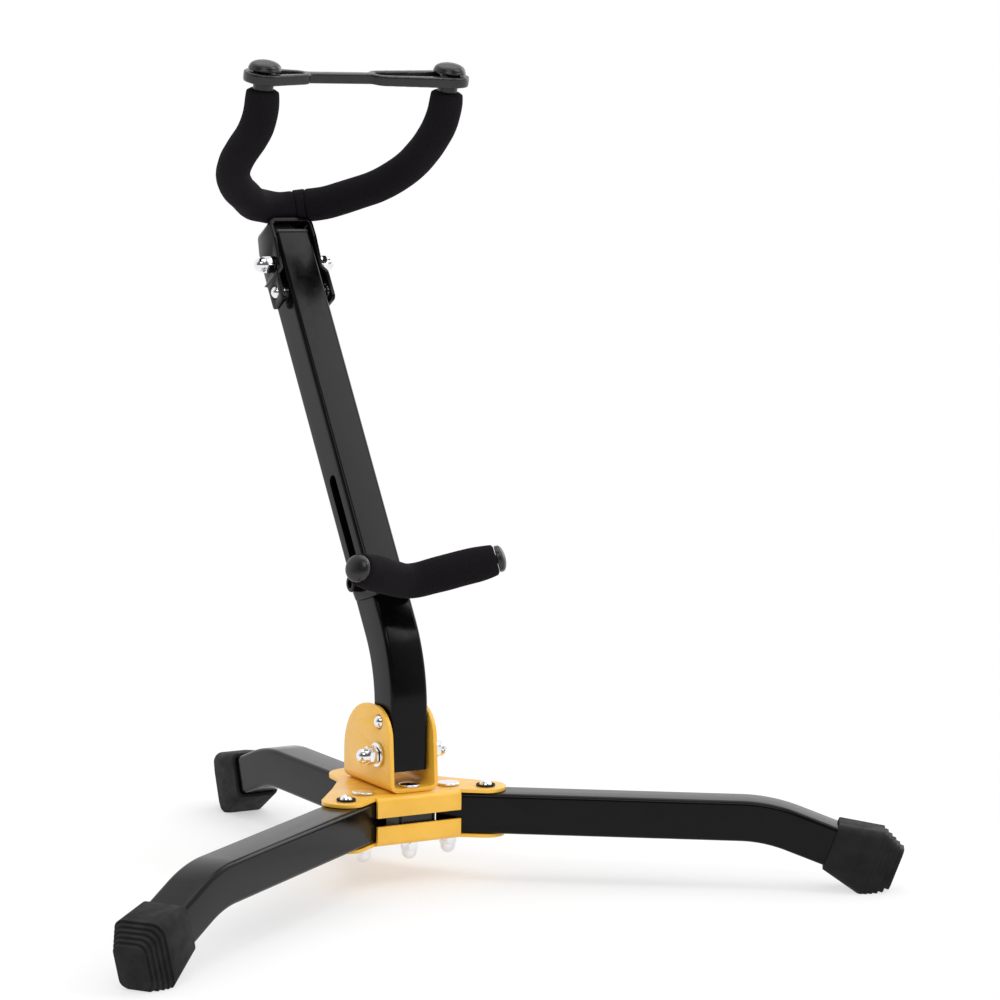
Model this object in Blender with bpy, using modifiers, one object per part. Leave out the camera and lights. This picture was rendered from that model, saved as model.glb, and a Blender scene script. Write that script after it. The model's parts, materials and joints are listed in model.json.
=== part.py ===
"""Folding alto saxophone stand: a three-legged base, a leaning post, a fork and a bell yoke.

The origin is at the bottom centre of the stand's box. +Z is up and the instrument sits on the -Y side.
Lengths are metres. Each piece is its own object, parented to an empty on its joint's axis.
"""
import math

import bmesh
import bpy
from mathutils import Matrix, Vector

MM = 0.001
GAP = 0.3 * MM

# Square tube shared by the legs and the upright
TUBE = 24.0 * MM
TUBE_WALL = 1.5 * MM
TUBE_CORNER = 2.6 * MM

# Legs
LEG_UNDERSIDE = 28.6 * MM
LEG_SPREAD = math.radians(54.7)
LEG_PIVOT_X = 28.3 * MM
LEG_ROOT = 6.0 * MM
LEG_STRAIGHT = 172.0 * MM
LEG_BEND_RADIUS = 90.0 * MM
LEG_BEND = math.radians(20.0)
LEG_TAIL = 46.0 * MM
REAR_LEG_ROOT = 13.2 * MM
REAR_LEG_SHORTER = 25.0 * MM
REAR_PLUG_DEPTH = 4.5 * MM

# Rubber feet, in sections square to the leg's tail, from a thin collar out to a stepped toe
FOOT_COLLAR = 22.3 * MM
FOOT_COLLAR_WALL = 2.2 * MM
FOOT_COLLAR_CORNER = 4.0 * MM
FOOT_HEEL = 4.0 * MM
FOOT_HALF_WIDTH = 15.3 * MM
FOOT_TOP = 19.6 * MM
FOOT_BOTTOM = 21.0 * MM
FOOT_CORNER = 7.0 * MM
FOOT_STEPS = 5
FOOT_STEP_LENGTH = 2.84 * MM
FOOT_STEP_INSET = 1.25 * MM
FOOT_TOE_RISE = 0.28 * MM
FOOT_CORNER_INSET = 0.5 * MM
FOOT_CORNER_FACETS = 3

# Hub plates
SHEET = 2.0 * MM
LIP_FRONT = 16.8 * MM
LIP_END_GAP = 0.8 * MM
LIP_HEIGHT = 11.7 * MM
LIP_BEND = 2.6 * MM
LOBE_REACH = 22.0 * MM
LOBE_RADIUS = 11.6 * MM
REAR_LOBE_Y = 52.0 * MM
REAR_LOBE_RADIUS = 19.5 * MM
HUB_WAIST = (23.5 * MM, 41.0 * MM)
HUB_SHOULDER = (38.5 * MM, 20.0 * MM)
CENTRE_BOLT_Y = -4.4 * MM
REAR_BOLT_Y = 34.0 * MM

# Clevis
CLEVIS_SHEET = 2.5 * MM
CLEVIS_FRONT = -11.0 * MM
CLEVIS_FRONT_TOP = -7.0 * MM
CLEVIS_BACK = 49.0 * MM
CLEVIS_HEIGHT = 49.0 * MM
CLEVIS_BEND = 4.0 * MM
CLEVIS_FRONT_ROUND = 19.0 * MM
CLEVIS_BACK_ROUND = 31.0 * MM
CLEVIS_GAP = 1.2 * MM

# Upright
UPRIGHT_PIVOT_Y = 5.5 * MM
UPRIGHT_PIVOT_HEIGHT = 18.3 * MM
UPRIGHT_SETBACK = 2.0 * MM
UPRIGHT_FOOT = 9.5 * MM
UPRIGHT_RISE = 25.4 * MM
UPRIGHT_BEND_RADIUS = 88.0 * MM
LEAN = math.radians(32.4)
UPRIGHT_STRAIGHT = 261.5 * MM
LOCK_SPACING = 19.3 * MM
SLOT_WIDTH = 8.4 * MM
SLOT_LENGTH = 75.0 * MM
PLUG_FLANGE = 2.5 * MM
PLUG_DEPTH = 12.0 * MM
PLUG_CORNER = 1.0 * MM
PLUG_EDGE = 0.8 * MM

# Fasteners
BOLT_RADIUS = 3.0 * MM
BOLT_HOLE = 3.3 * MM
BOLT_HEAD_RADIUS = 6.5 * MM
BOLT_HEAD_HEIGHT = 1.8 * MM
NUT_FLATS = 10.0 * MM
NUT_HEX_HEIGHT = 5.5 * MM
NUT_HEIGHT = 11.6 * MM
NUT_THREAD = 7.0 * MM
WASHER_RADIUS = 7.2 * MM
WASHER_THICK = 1.6 * MM
BUSH_RADIUS = 5.0 * MM

# Sprung lock buttons
BUTTON_RADIUS = 4.0 * MM
BUTTON_STAND = 3.8 * MM
SIDE_BUTTON_STAND = 2.7 * MM
YOKE_STUD_STAND = 5.7 * MM
BUTTON_HOLE = 4.4 * MM
BUTTON_FLANGE = 5.6 * MM
BUTTON_FLANGE_THICK = 1.0 * MM
BUTTON_RING_RADIUS = 5.6 * MM
BUTTON_RING_HEIGHT = 1.0 * MM
SPRING_SHEET = 0.8 * MM
SPRING_WIDTH = 8.0 * MM
SPRING_LENGTH = 26.0 * MM

# Fork
ROD_RADIUS = 5.0 * MM
FOAM_RADIUS = 10.2 * MM
FORK_BOLT_DROP = 233.0 * MM
FORK_ROD_BELOW = 16.2 * MM
FORK_FORWARD = 34.2 * MM
FORK_SPREAD = math.radians(59.0)
FORK_ARM = 52.5 * MM
FORK_ROUND = 16.0 * MM
FORK_TILT = math.radians(1.8)
FORK_SHEET = 2.0 * MM
FORK_CAP_RADIUS = 7.9 * MM
FORK_CAP_EDGE = 1.6 * MM
FORK_CAP_DOME = 3.6 * MM
FORK_WEB = 21.5 * MM
FORK_BEND = 2.2 * MM
FORK_BOSS_RADIUS = 3.2 * MM
FORK_BOSS_LIFT = 3.2 * MM
FORK_HEAD_RADIUS = 5.0 * MM
FORK_HEAD_HEIGHT = 4.4 * MM
FORK_HEAD_EDGE = 0.6 * MM
FORK_KEY_RADIUS = 2.6 * MM
FORK_NUT_HEIGHT = 5.0 * MM

# Yoke, measured from the centre of the upright's top end
YOKE_SHEET = 2.3 * MM
YOKE_PIVOT_DROP = 20.0 * MM
YOKE_PIVOT_FORWARD = 3.0 * MM
YOKE_BRIDGE = 4.9 * MM
YOKE_GAP = 0.4 * MM
YOKE_SIDE_BEND = 3.5 * MM
YOKE_EAR_DROP = 26.0 * MM
YOKE_TAB_START = 29.5 * MM
YOKE_TAB_DROP = 48.0 * MM
YOKE_TAB_STEP = 3.2 * MM
YOKE_TAB_CORNER = 3.0 * MM
YOKE_BOSS_RADIUS = 4.0 * MM
YOKE_COLLAR = (8.5 * MM, 15.5 * MM)
# Half of the rod's route: across, forward, and up along the upright
YOKE_ROUTE = (
    (0.0, 5.0, 18.2),
    (13.0, 9.0, 17.6),
    (25.0, 18.0, 14.6),
    (37.0, 31.5, 12.4),
    (47.0, 43.0, 11.1),
    (55.2, 56.3, 10.9),
    (59.6, 70.0, 11.0),
    (60.9, 84.5, 11.3),
    (60.6, 99.0, 11.8),
    (60.6, 109.5, 13.8),
    (60.9, 119.3, 18.6),
    (61.1, 127.4, 26.6),
)
POST_ANGLE = math.radians(45.0)
NECK_RADIUS = 6.0 * MM
NECK_LENGTH = 10.6 * MM
CAP_RADIUS = 9.8 * MM
CAP_HEIGHT = 6.5 * MM
CAP_EDGE = 2.2 * MM
STEM_RADIUS = 2.7 * MM
STEM_LENGTH = 8.0 * MM

# Strap, in the plane square to the posts
STRAP_LIFT = 4.1 * MM
STRAP_THICK = 6.2 * MM
STRAP_EDGE = 1.2 * MM
STRAP_EYE = 6.4 * MM
STRAP_END_RADIUS = 12.2 * MM
STRAP_BAR_HALF = 3.2 * MM
STRAP_LOOP_LENGTH = 22.0 * MM
STRAP_LOOP_OUTER = 7.2 * MM
STRAP_LOOP_INNER = 3.2 * MM
STRAP_SLOT_START = 45.0 * MM
STRAP_SLOT_OUTER = 8.6 * MM
STRAP_SLOT_INNER = 4.6 * MM

# How far a flat facet may lie inside the true round
FACET_SAG = 0.12 * MM

# Length of the tools that cut right through a piece, and how far a bore's tool runs past each end
THROUGH = 5 * TUBE
BORE_LEAD = 2.0 * MM

# Heights and places that follow from the sizes above
LEG_TOP = LEG_UNDERSIDE + TUBE
LEG_AXIS = LEG_UNDERSIDE + TUBE / 2
TOP_PLATE_LOW = LEG_TOP + GAP
TOP_PLATE_HIGH = TOP_PLATE_LOW + SHEET
BOTTOM_PLATE_HIGH = LEG_UNDERSIDE - GAP
BOTTOM_PLATE_LOW = BOTTOM_PLATE_HIGH - SHEET
CLEVIS_LOW = TOP_PLATE_HIGH + GAP
CLEVIS_FLOOR = CLEVIS_LOW + CLEVIS_SHEET
UPRIGHT_PIVOT_Z = CLEVIS_FLOOR + UPRIGHT_PIVOT_HEIGHT
UPRIGHT_AXIS_Y = UPRIGHT_PIVOT_Y + UPRIGHT_SETBACK
BEND_START_Z = UPRIGHT_PIVOT_Z + UPRIGHT_RISE
LIP_INNER = LIP_FRONT - SHEET
LIP_HALF_WIDTH = (LEG_PIVOT_X + LIP_INNER * math.tan(LEG_SPREAD)
                  - TUBE / 2 / math.cos(LEG_SPREAD) - LIP_END_GAP)
CLEVIS_INNER = TUBE / 2 + CLEVIS_GAP
EAR_INNER = TUBE / 2 + YOKE_GAP
TUBE_INNER = TUBE - 2 * TUBE_WALL
ALONG = Vector((0.0, math.sin(LEAN), math.cos(LEAN)))
BEND_END = Vector((
    0.0,
    UPRIGHT_AXIS_Y + UPRIGHT_BEND_RADIUS * (1 - math.cos(LEAN)),
    BEND_START_Z + UPRIGHT_BEND_RADIUS * math.sin(LEAN),
))
UPRIGHT_TOP = BEND_END + ALONG * UPRIGHT_STRAIGHT
SLOT_TOP = FORK_BOLT_DROP + SLOT_WIDTH / 2 + GAP - SLOT_LENGTH


def foot_sections():
    """Sections of a foot: distance past the tube's end, half width, top, bottom and corner radius."""
    collar = TUBE / 2 + FOOT_COLLAR_WALL
    sections = [
        (-FOOT_COLLAR, collar, collar, -collar, FOOT_COLLAR_CORNER),
        (FOOT_HEEL, FOOT_HALF_WIDTH, FOOT_TOP, -FOOT_BOTTOM, FOOT_CORNER),
    ]
    for i in range(1, FOOT_STEPS + 1):
        inset = FOOT_STEP_INSET * i
        size = (FOOT_HALF_WIDTH - inset, FOOT_TOP - inset, FOOT_TOE_RISE * i * (i + 1) - FOOT_BOTTOM,
                FOOT_CORNER - FOOT_CORNER_INSET * i)
        sections.append((FOOT_HEEL + FOOT_STEP_LENGTH * (i - 1), *size))
        sections.append((FOOT_HEEL + FOOT_STEP_LENGTH * i, *size))
    return sections


def foot_rings(shorter):
    """Points of a foot's sections in the leg's frame, with the same count in each."""
    straight = LEG_STRAIGHT - shorter
    out = Vector((math.cos(LEG_BEND), 0.0, -math.sin(LEG_BEND)))
    rise = Vector((math.sin(LEG_BEND), 0.0, math.cos(LEG_BEND)))
    bend = Vector((straight, 0.0, LEG_AXIS - LEG_BEND_RADIUS))
    end = bend + rise * LEG_BEND_RADIUS + out * LEG_TAIL
    rings = []
    for along, half, top, bottom, corner in foot_sections():
        ring = []
        corners = ((half, top), (-half, top), (-half, bottom), (half, bottom))
        for quarter, (width, height) in enumerate(corners):
            middle = (width - math.copysign(corner, width), height - math.copysign(corner, height))
            for i in range(FOOT_CORNER_FACETS + 1):
                angle = math.pi / 2 * (quarter + i / FOOT_CORNER_FACETS)
                across = middle[0] + corner * math.cos(angle)
                up = middle[1] + corner * math.sin(angle)
                ring.append(end + out * along + rise * up + Vector((0.0, across, 0.0)))
        rings.append(ring)
    return rings


FRONT_EXTENT = max(point.x * math.cos(LEG_SPREAD) + abs(point.y) * math.sin(LEG_SPREAD)
                   for ring in foot_rings(0.0) for point in ring)
REAR_EXTENT = max(point.x for ring in foot_rings(REAR_LEG_SHORTER) for point in ring)
HUB_Y = (FRONT_EXTENT - REAR_EXTENT) / 2


def clear_scene():
    for item in list(bpy.data.objects):
        bpy.data.objects.remove(item, do_unlink=True)


def collection(name):
    group = bpy.data.collections.new(name)
    bpy.context.scene.collection.children.link(group)
    return group


clear_scene()
PARTS = collection("alto_saxophone_stand")
CUTTERS = collection("cutters")


def material(name, colour, roughness, metallic=0.0):
    made = bpy.data.materials.new(name)
    made.use_nodes = True
    shader = made.node_tree.nodes["Principled BSDF"]
    shader.inputs["Base Color"].default_value = (*colour, 1.0)
    shader.inputs["Roughness"].default_value = roughness
    shader.inputs["Metallic"].default_value = metallic
    return made


YELLOW = material("yellow_powder_coat", (0.90, 0.45, 0.05), 0.35)
BLACK = material("black_paint", (0.012, 0.012, 0.013), 0.28)
RUBBER = material("black_rubber", (0.014, 0.013, 0.014), 0.75)
FOAM = material("black_foam", (0.010, 0.009, 0.011), 0.95)
PLASTIC = material("grey_black_plastic", (0.022, 0.022, 0.024), 0.45)
CHROME = material("bright_chrome", (0.80, 0.80, 0.82), 0.12, 1.0)
STEEL = material("spring_steel", (0.30, 0.31, 0.33), 0.35, 1.0)


def axis_empty(name, location, rotation=(0.0, 0.0, 0.0), parent=None):
    made = bpy.data.objects.new(name, None)
    made.empty_display_size = 0.02
    made.location = location
    made.rotation_euler = rotation
    made.parent = parent
    PARTS.objects.link(made)
    return made


STAND = axis_empty("stand_origin", (0.0, HUB_Y, 0.0))


def place(name, mesh, parent, finish=None, location=(0, 0, 0), rotation=(0, 0, 0)):
    """Object for a finished mesh, shaded smooth apart from its hard edges."""
    made = bpy.data.objects.new(name, mesh)
    made.parent = parent
    made.location = location
    made.rotation_euler = rotation
    if finish is None:
        made.hide_render = True
        made.display_type = "WIRE"
        CUTTERS.objects.link(made)
    else:
        if not mesh.materials:
            mesh.materials.append(finish)
        PARTS.objects.link(made)
    return made


def smooth(mesh, degrees=35):
    mesh.shade_smooth()
    mesh.set_sharp_from_angle(angle=math.radians(degrees))
    return mesh


def boolean(target, tool, operation="DIFFERENCE"):
    step = target.modifiers.new(operation.lower() + "_" + tool.name, "BOOLEAN")
    step.operation = operation
    step.object = tool
    step.solver = "EXACT"


def applied(target):
    """Mesh of an object with its modifiers, and the object removed."""
    bpy.context.view_layer.update()
    graph = bpy.context.evaluated_depsgraph_get()
    mesh = bpy.data.meshes.new_from_object(target.evaluated_get(graph))
    bpy.data.objects.remove(target, do_unlink=True)
    return mesh


def curve_mesh(data):
    """Mesh of a curve, with its caps welded on."""
    holder = bpy.data.objects.new("holder", data)
    CUTTERS.objects.link(holder)
    mesh = applied(holder)
    bpy.data.curves.remove(data)
    body = bmesh.new()
    body.from_mesh(mesh)
    bmesh.ops.remove_doubles(body, verts=body.verts, dist=1e-6)
    bmesh.ops.recalc_face_normals(body, faces=body.faces)
    body.to_mesh(mesh)
    body.free()
    mesh.materials.clear()
    mesh.shade_flat()
    return mesh


def facet_angle(radius):
    return 2 * math.acos(1 - FACET_SAG / max(radius, 1.5 * MM))


def round_steps(radius):
    return max(12, 4 * int(math.ceil(math.pi / 2 / facet_angle(radius))))


def arc(centre, radius, start, stop):
    count = max(2, int(math.ceil(abs(stop - start) / facet_angle(radius))))
    return [
        (centre[0] + radius * math.cos(start + (stop - start) * i / count),
         centre[1] + radius * math.sin(start + (stop - start) * i / count))
        for i in range(count + 1)
    ]


def rounded(corners, closed=True):
    """Outline through corners (x, y, radius), with each corner turned into an arc."""
    points = []
    count = len(corners)
    for i, (x, y, radius) in enumerate(corners):
        here = Vector((x, y))
        if radius <= 0 or (not closed and i in (0, count - 1)):
            points.append((x, y))
            continue
        before = Vector(corners[i - 1][:2]) - here
        after = Vector(corners[(i + 1) % count][:2]) - here
        before.normalize()
        after.normalize()
        half = before.angle(after) / 2
        reach = radius / math.tan(half)
        centre = here + (before + after).normalized() * (radius / math.sin(half))
        first = here + before * reach - centre
        last = here + after * reach - centre
        start = math.atan2(first.y, first.x)
        turn = math.atan2(first.x * last.y - first.y * last.x, first.dot(last))
        points.extend(arc(centre, radius, start, start + turn))
    return points


def belt(x1, r1, x2, r2):
    """Outline of a belt round two circles on the X axis, with x1 below x2."""
    lean = math.acos((r1 - r2) / (x2 - x1))
    right = arc((x2, 0.0), r2, -lean, lean)
    left = arc((x1, 0.0), r1, lean, 2 * math.pi - lean)
    return right + left


def ribbon(path, thick):
    """Outline of a strip of even thickness along an open path."""
    sides = ([], [])
    for i, point in enumerate(path):
        here = Vector(point)
        into = (here - Vector(path[i - 1])).normalized() if i else None
        out = (Vector(path[i + 1]) - here).normalized() if i + 1 < len(path) else None
        into = into or out
        out = out or into
        along = (into + out).normalized()
        normal = Vector((-along.y, along.x)) * (thick / 2 / max(0.2, along.dot(out)))
        sides[0].append(tuple(here + normal))
        sides[1].append(tuple(here - normal))
    return sides[0] + sides[1][::-1]


def slab(outline, thick, holes=()):
    """Flat mesh in the XY plane, from an outline and round or shaped holes."""
    data = bpy.data.curves.new("outline", "CURVE")
    data.dimensions = "2D"
    data.fill_mode = "BOTH"
    data.extrude = thick / 2
    for loop in (outline, *holes):
        spline = data.splines.new("POLY")
        spline.points.add(len(loop) - 1)
        for vertex, (x, y) in zip(spline.points, loop):
            vertex.co = (x, y, 0.0, 1.0)
        spline.use_cyclic_u = True
    return curve_mesh(data)


def circle(centre, radius, steps=None):
    steps = steps or round_steps(radius)
    return [
        (centre[0] + radius * math.cos(2 * math.pi * i / steps),
         centre[1] + radius * math.sin(2 * math.pi * i / steps))
        for i in range(steps)
    ]


def swept(path, radius=None, resolution=4, section=None):
    """Round or shaped bar along a 3-D path."""
    data = bpy.data.curves.new("route", "CURVE")
    data.dimensions = "3D"
    data.use_fill_caps = True
    guide = None
    if section is None:
        data.bevel_depth = radius
        data.bevel_resolution = resolution
    else:
        shape = bpy.data.curves.new("section", "CURVE")
        shape.dimensions = "2D"
        loop = shape.splines.new("POLY")
        loop.points.add(len(section) - 1)
        for vertex, (x, y) in zip(loop.points, section):
            vertex.co = (x, y, 0.0, 1.0)
        loop.use_cyclic_u = True
        guide = bpy.data.objects.new("section", shape)
        CUTTERS.objects.link(guide)
        data.bevel_mode = "OBJECT"
        data.bevel_object = guide
    spline = data.splines.new("POLY")
    spline.points.add(len(path) - 1)
    for vertex, point in zip(spline.points, path):
        vertex.co = (*point, 1.0)
    mesh = curve_mesh(data)
    if guide is not None:
        bpy.data.objects.remove(guide, do_unlink=True)
    return mesh


def turned(profile, steps=None):
    """Solid turned about Z. The profile (radius, height) runs from the top down."""
    steps = steps or round_steps(max(radius for radius, height in profile))
    mesh = bpy.data.meshes.new("profile")
    body = bmesh.new()
    rim = [body.verts.new((radius, 0.0, height)) for radius, height in profile]
    for first, second in zip(rim, rim[1:]):
        body.edges.new((first, second))
    body.to_mesh(mesh)
    body.free()
    holder = bpy.data.objects.new("holder", mesh)
    CUTTERS.objects.link(holder)
    screw = holder.modifiers.new("turn", "SCREW")
    screw.steps = steps
    screw.render_steps = steps
    screw.use_merge_vertices = True
    screw.merge_threshold = 0.00001
    return smooth(applied(holder))


def cylinder(radius, low, high, steps=None):
    return turned(((0.0, high), (radius, high), (radius, low), (0.0, low)), steps)


def box(size, centre):
    mesh = bpy.data.meshes.new("box")
    body = bmesh.new()
    shape = Matrix.LocRotScale(Vector(centre), None, Vector(size))
    bmesh.ops.create_cube(body, size=1.0, matrix=shape)
    body.to_mesh(mesh)
    body.free()
    return mesh


ACROSS = (0.0, math.pi / 2, 0.0)
SIDE_VIEW = (math.pi / 2, 0.0, math.pi / 2)


def square(size, corner):
    half = size / 2
    return rounded([(x * half, y * half, corner) for x, y in ((1, -1), (1, 1), (-1, 1), (-1, -1))])


def hexagon(radius):
    return circle((0.0, 0.0), radius, 6)


def extended(path):
    """The path with both its ends moved outwards along it, for a bore's tool."""
    first = Vector(path[0])
    last = Vector(path[-1])
    start = first + (first - Vector(path[1])).normalized() * BORE_LEAD
    stop = last + (last - Vector(path[-2])).normalized() * BORE_LEAD
    return [tuple(start), *path[1:-1], tuple(stop)]


def square_tube(name, path, parent):
    """Hollow square tube, open at both ends."""
    made = place(name, smooth(swept(path, section=square(TUBE, TUBE_CORNER)), 25), parent, BLACK)
    bore = swept(extended(path), section=square(TUBE_INNER, TUBE_CORNER - TUBE_WALL))
    boolean(made, place(name + "_bore", bore, parent))
    return made


def drill(target, parent, radius, location, length, rotation=(0, 0, 0), name="hole"):
    tool = place(target.name + "_" + name, cylinder(radius, -length / 2, length / 2), parent,
                 location=location, rotation=rotation)
    boolean(target, tool)


# Fasteners

def acorn_nut_mesh():
    """Acorn nut along +Z with its blind threaded hole open at the bottom."""
    nut = place("nut", slab(hexagon(NUT_FLATS / math.sqrt(3)), NUT_HEX_HEIGHT), STAND, CHROME)
    nut.location = (0, 0, NUT_HEX_HEIGHT / 2)
    dome_radius = NUT_FLATS / 2 - 0.25 * MM
    dome_start = NUT_HEIGHT - dome_radius
    crown = [
        (dome_radius * math.sin(math.radians(a)), dome_start + dome_radius * math.cos(math.radians(a)))
        for a in (0, 30, 60, 90)
    ]
    dome = turned((*crown, (dome_radius, NUT_HEX_HEIGHT / 2), (0.0, NUT_HEX_HEIGHT / 2)))
    boolean(nut, place("nut_dome", dome, STAND), "UNION")
    boolean(nut, place("nut_thread", cylinder(BOLT_HOLE, -MM, NUT_THREAD), STAND))
    mesh = applied(nut)
    mesh.transform(Matrix.Translation((0, 0, NUT_HEX_HEIGHT / 2)))
    return smooth(mesh)


ACORN = acorn_nut_mesh()


def acorn(name, parent, location, rotation):
    return place(name, ACORN, parent, CHROME, location, rotation)


def bolt(name, parent, top, bottom, location, finish=CHROME):
    """Low round-headed bolt along Z, from the head's seat at top down to bottom."""
    crown = top + BOLT_HEAD_HEIGHT
    edge = BOLT_HEAD_RADIUS
    profile = ((0.0, crown), (edge * 0.55, crown - 0.15 * MM), (edge * 0.88, crown - 0.7 * MM),
               (edge, top + 0.3 * MM), (edge, top), (BOLT_RADIUS, top), (BOLT_RADIUS, bottom), (0.0, bottom))
    return place(name, turned(profile), parent, finish, location)


def cross_pin(name, parent, half, location, finish=CHROME):
    return place(name, cylinder(BOLT_RADIUS, -half, half), parent, finish, location, ACROSS)


def washer(name, parent, low, location, rotation):
    ring = slab(circle((0, 0), WASHER_RADIUS), WASHER_THICK, (circle((0, 0), BOLT_HOLE),))
    made = place(name, smooth(ring), parent, CHROME, location, rotation)
    made.data.transform(Matrix.Translation((0, 0, low + WASHER_THICK / 2)))
    return made


def bush(name, parent, low, high, location, rotation=(0, 0, 0)):
    ring = slab(circle((0, 0), BUSH_RADIUS), high - low, (circle((0, 0), BOLT_HOLE),))
    ring.transform(Matrix.Translation((0, 0, (low + high) / 2)))
    return place(name, smooth(ring), parent, PLASTIC, location, rotation)


def lock_button_mesh(wall_inner, stand):
    """Domed button along +Z: the dome ends at stand, the flange sits under wall_inner."""
    dome = [
        (BUTTON_RADIUS * math.sin(math.radians(a)), stand + BUTTON_RADIUS * (math.cos(math.radians(a)) - 1))
        for a in (0, 30, 60, 90)
    ]
    seat = wall_inner - GAP
    foot = seat - BUTTON_FLANGE_THICK
    return turned((*dome, (BUTTON_RADIUS, seat), (BUTTON_FLANGE, seat), (BUTTON_FLANGE, foot), (0.0, foot)))


def hub_outline():
    """Plan of a hub plate: two front lobes along the legs, shoulders, a waist and a rear lobe."""
    out = Vector((math.sin(LEG_SPREAD), -math.cos(LEG_SPREAD)))
    side = Vector((out.y, -out.x))
    pivot = Vector((LEG_PIVOT_X, 0.0))
    front = pivot + out * (LOBE_REACH + LOBE_RADIUS) + side * LOBE_RADIUS
    back = pivot + out * (LOBE_REACH + LOBE_RADIUS) - side * LOBE_RADIUS
    root = pivot + side * LOBE_RADIUS
    root += out * ((LIP_HALF_WIDTH - root.x) / out.x)
    rear = REAR_LOBE_Y + REAR_LOBE_RADIUS
    half = [
        (LIP_HALF_WIDTH, -LIP_FRONT + LIP_BEND + SHEET, 0.0),
        (root.x, root.y, 0.0),
        (front.x, front.y, LOBE_RADIUS * 0.98),
        (back.x, back.y, LOBE_RADIUS * 0.98),
        (*HUB_SHOULDER, 12 * MM),
        (*HUB_WAIST, 5 * MM),
        (REAR_LOBE_RADIUS + 2 * MM, REAR_LOBE_Y - 4 * MM, 5 * MM),
        (REAR_LOBE_RADIUS, rear, REAR_LOBE_RADIUS * 0.95),
    ]
    return rounded(half + [(-x, y, r) for x, y, r in half[::-1]])


def lobe_centre(side):
    return (side * (LEG_PIVOT_X + LOBE_REACH * math.sin(LEG_SPREAD)), -LOBE_REACH * math.cos(LEG_SPREAD))


def hub_plate(name, low, lip_direction):
    holes = [circle((0.0, y), BOLT_HOLE) for y in (CENTRE_BOLT_Y, REAR_BOLT_Y)]
    for side in (-1, 1):
        holes.append(circle((side * LEG_PIVOT_X, 0.0), BOLT_HOLE))
        holes.append(circle(lobe_centre(side), BUTTON_HOLE))
    middle = low + SHEET / 2
    made = place(name, slab(hub_outline(), SHEET, holes), STAND, YELLOW, (0, 0, middle))
    inner = LIP_FRONT - SHEET / 2
    back = LIP_FRONT - LIP_BEND - 2 * SHEET
    path = rounded([
        (-back, 0.0, 0.0),
        (-inner, 0.0, LIP_BEND),
        (-inner, lip_direction * (LIP_HEIGHT - SHEET / 2), 0.0),
    ], closed=False)
    lip = slab(ribbon(path, SHEET), 2 * LIP_HALF_WIDTH)
    tool = place(name + "_lip", lip, STAND, location=(0, 0, middle), rotation=SIDE_VIEW)
    boolean(made, tool, "UNION")
    return made


def base_bolts(root):
    seat = CLEVIS_FLOOR + GAP
    tip = BOTTOM_PLATE_LOW - NUT_THREAD + GAP
    under = BOTTOM_PLATE_LOW - GAP
    for name, y in (("hub_centre", CENTRE_BOLT_Y), ("hub_rear", REAR_BOLT_Y)):
        bolt(name + "_bolt", root, seat, tip, (0, y, 0))
        acorn(name + "_nut", root, (0, y, under), (math.pi, 0, 0))
    for label, side in (("left", -1), ("right", 1)):
        spot = (side * LEG_PIVOT_X, 0, 0)
        bolt("leg_pivot_bolt_" + label, root, TOP_PLATE_HIGH + GAP, tip, spot)
        acorn("leg_pivot_nut_" + label, root, (spot[0], 0, under), (math.pi, 0, 0))
        bush("leg_pivot_bush_" + label, root, BOTTOM_PLATE_HIGH + GAP, TOP_PLATE_LOW - GAP, spot)


def clevis():
    middle = CLEVIS_INNER + CLEVIS_SHEET / 2
    floor = CLEVIS_LOW + CLEVIS_SHEET / 2
    top = CLEVIS_LOW + CLEVIS_HEIGHT
    path = rounded([
        (-middle, top + CLEVIS_SHEET, 0.0),
        (-middle, floor, CLEVIS_BEND),
        (middle, floor, CLEVIS_BEND),
        (middle, top + CLEVIS_SHEET, 0.0),
    ], closed=False)
    depth = CLEVIS_BACK - CLEVIS_FRONT
    centre = (CLEVIS_BACK + CLEVIS_FRONT) / 2
    made = place("clevis", slab(ribbon(path, CLEVIS_SHEET), depth), STAND, YELLOW,
                 (0, centre, 0), (math.pi / 2, 0, 0))
    sides = rounded([
        (CLEVIS_FRONT + GAP, CLEVIS_LOW - MM, 0.0),
        (CLEVIS_BACK - GAP, CLEVIS_LOW - MM, 0.0),
        (CLEVIS_BACK - GAP, top, CLEVIS_BACK_ROUND),
        (CLEVIS_FRONT_TOP, top, CLEVIS_FRONT_ROUND),
    ])
    tool = place("clevis_side", slab(sides, THROUGH), STAND, rotation=SIDE_VIEW)
    boolean(made, tool, "INTERSECT")
    for y in (CENTRE_BOLT_Y, REAR_BOLT_Y):
        drill(made, STAND, BOLT_HOLE, (0, y, floor), 4 * CLEVIS_SHEET, name="hole_%d" % round(y / MM))
    pivot = (0, UPRIGHT_PIVOT_Y, UPRIGHT_PIVOT_Z)
    drill(made, STAND, BOLT_HOLE, pivot, THROUGH, ACROSS, "pivot")
    lock = (0, UPRIGHT_PIVOT_Y, UPRIGHT_PIVOT_Z + LOCK_SPACING)
    drill(made, STAND, BUTTON_HOLE, lock, THROUGH, ACROSS, "lock")
    return made


# Legs

def leg_path(root, straight, tail):
    points = [(-root, 0.0, LEG_AXIS), (straight, 0.0, LEG_AXIS)]
    count = 5
    for i in range(1, count + 1):
        angle = LEG_BEND * i / count
        points.append((straight + LEG_BEND_RADIUS * math.sin(angle), 0.0,
                       LEG_AXIS - LEG_BEND_RADIUS * (1 - math.cos(angle))))
    end = Vector(points[-1])
    points.append(tuple(end + Vector((math.cos(LEG_BEND), 0.0, -math.sin(LEG_BEND))) * tail))
    return points


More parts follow.
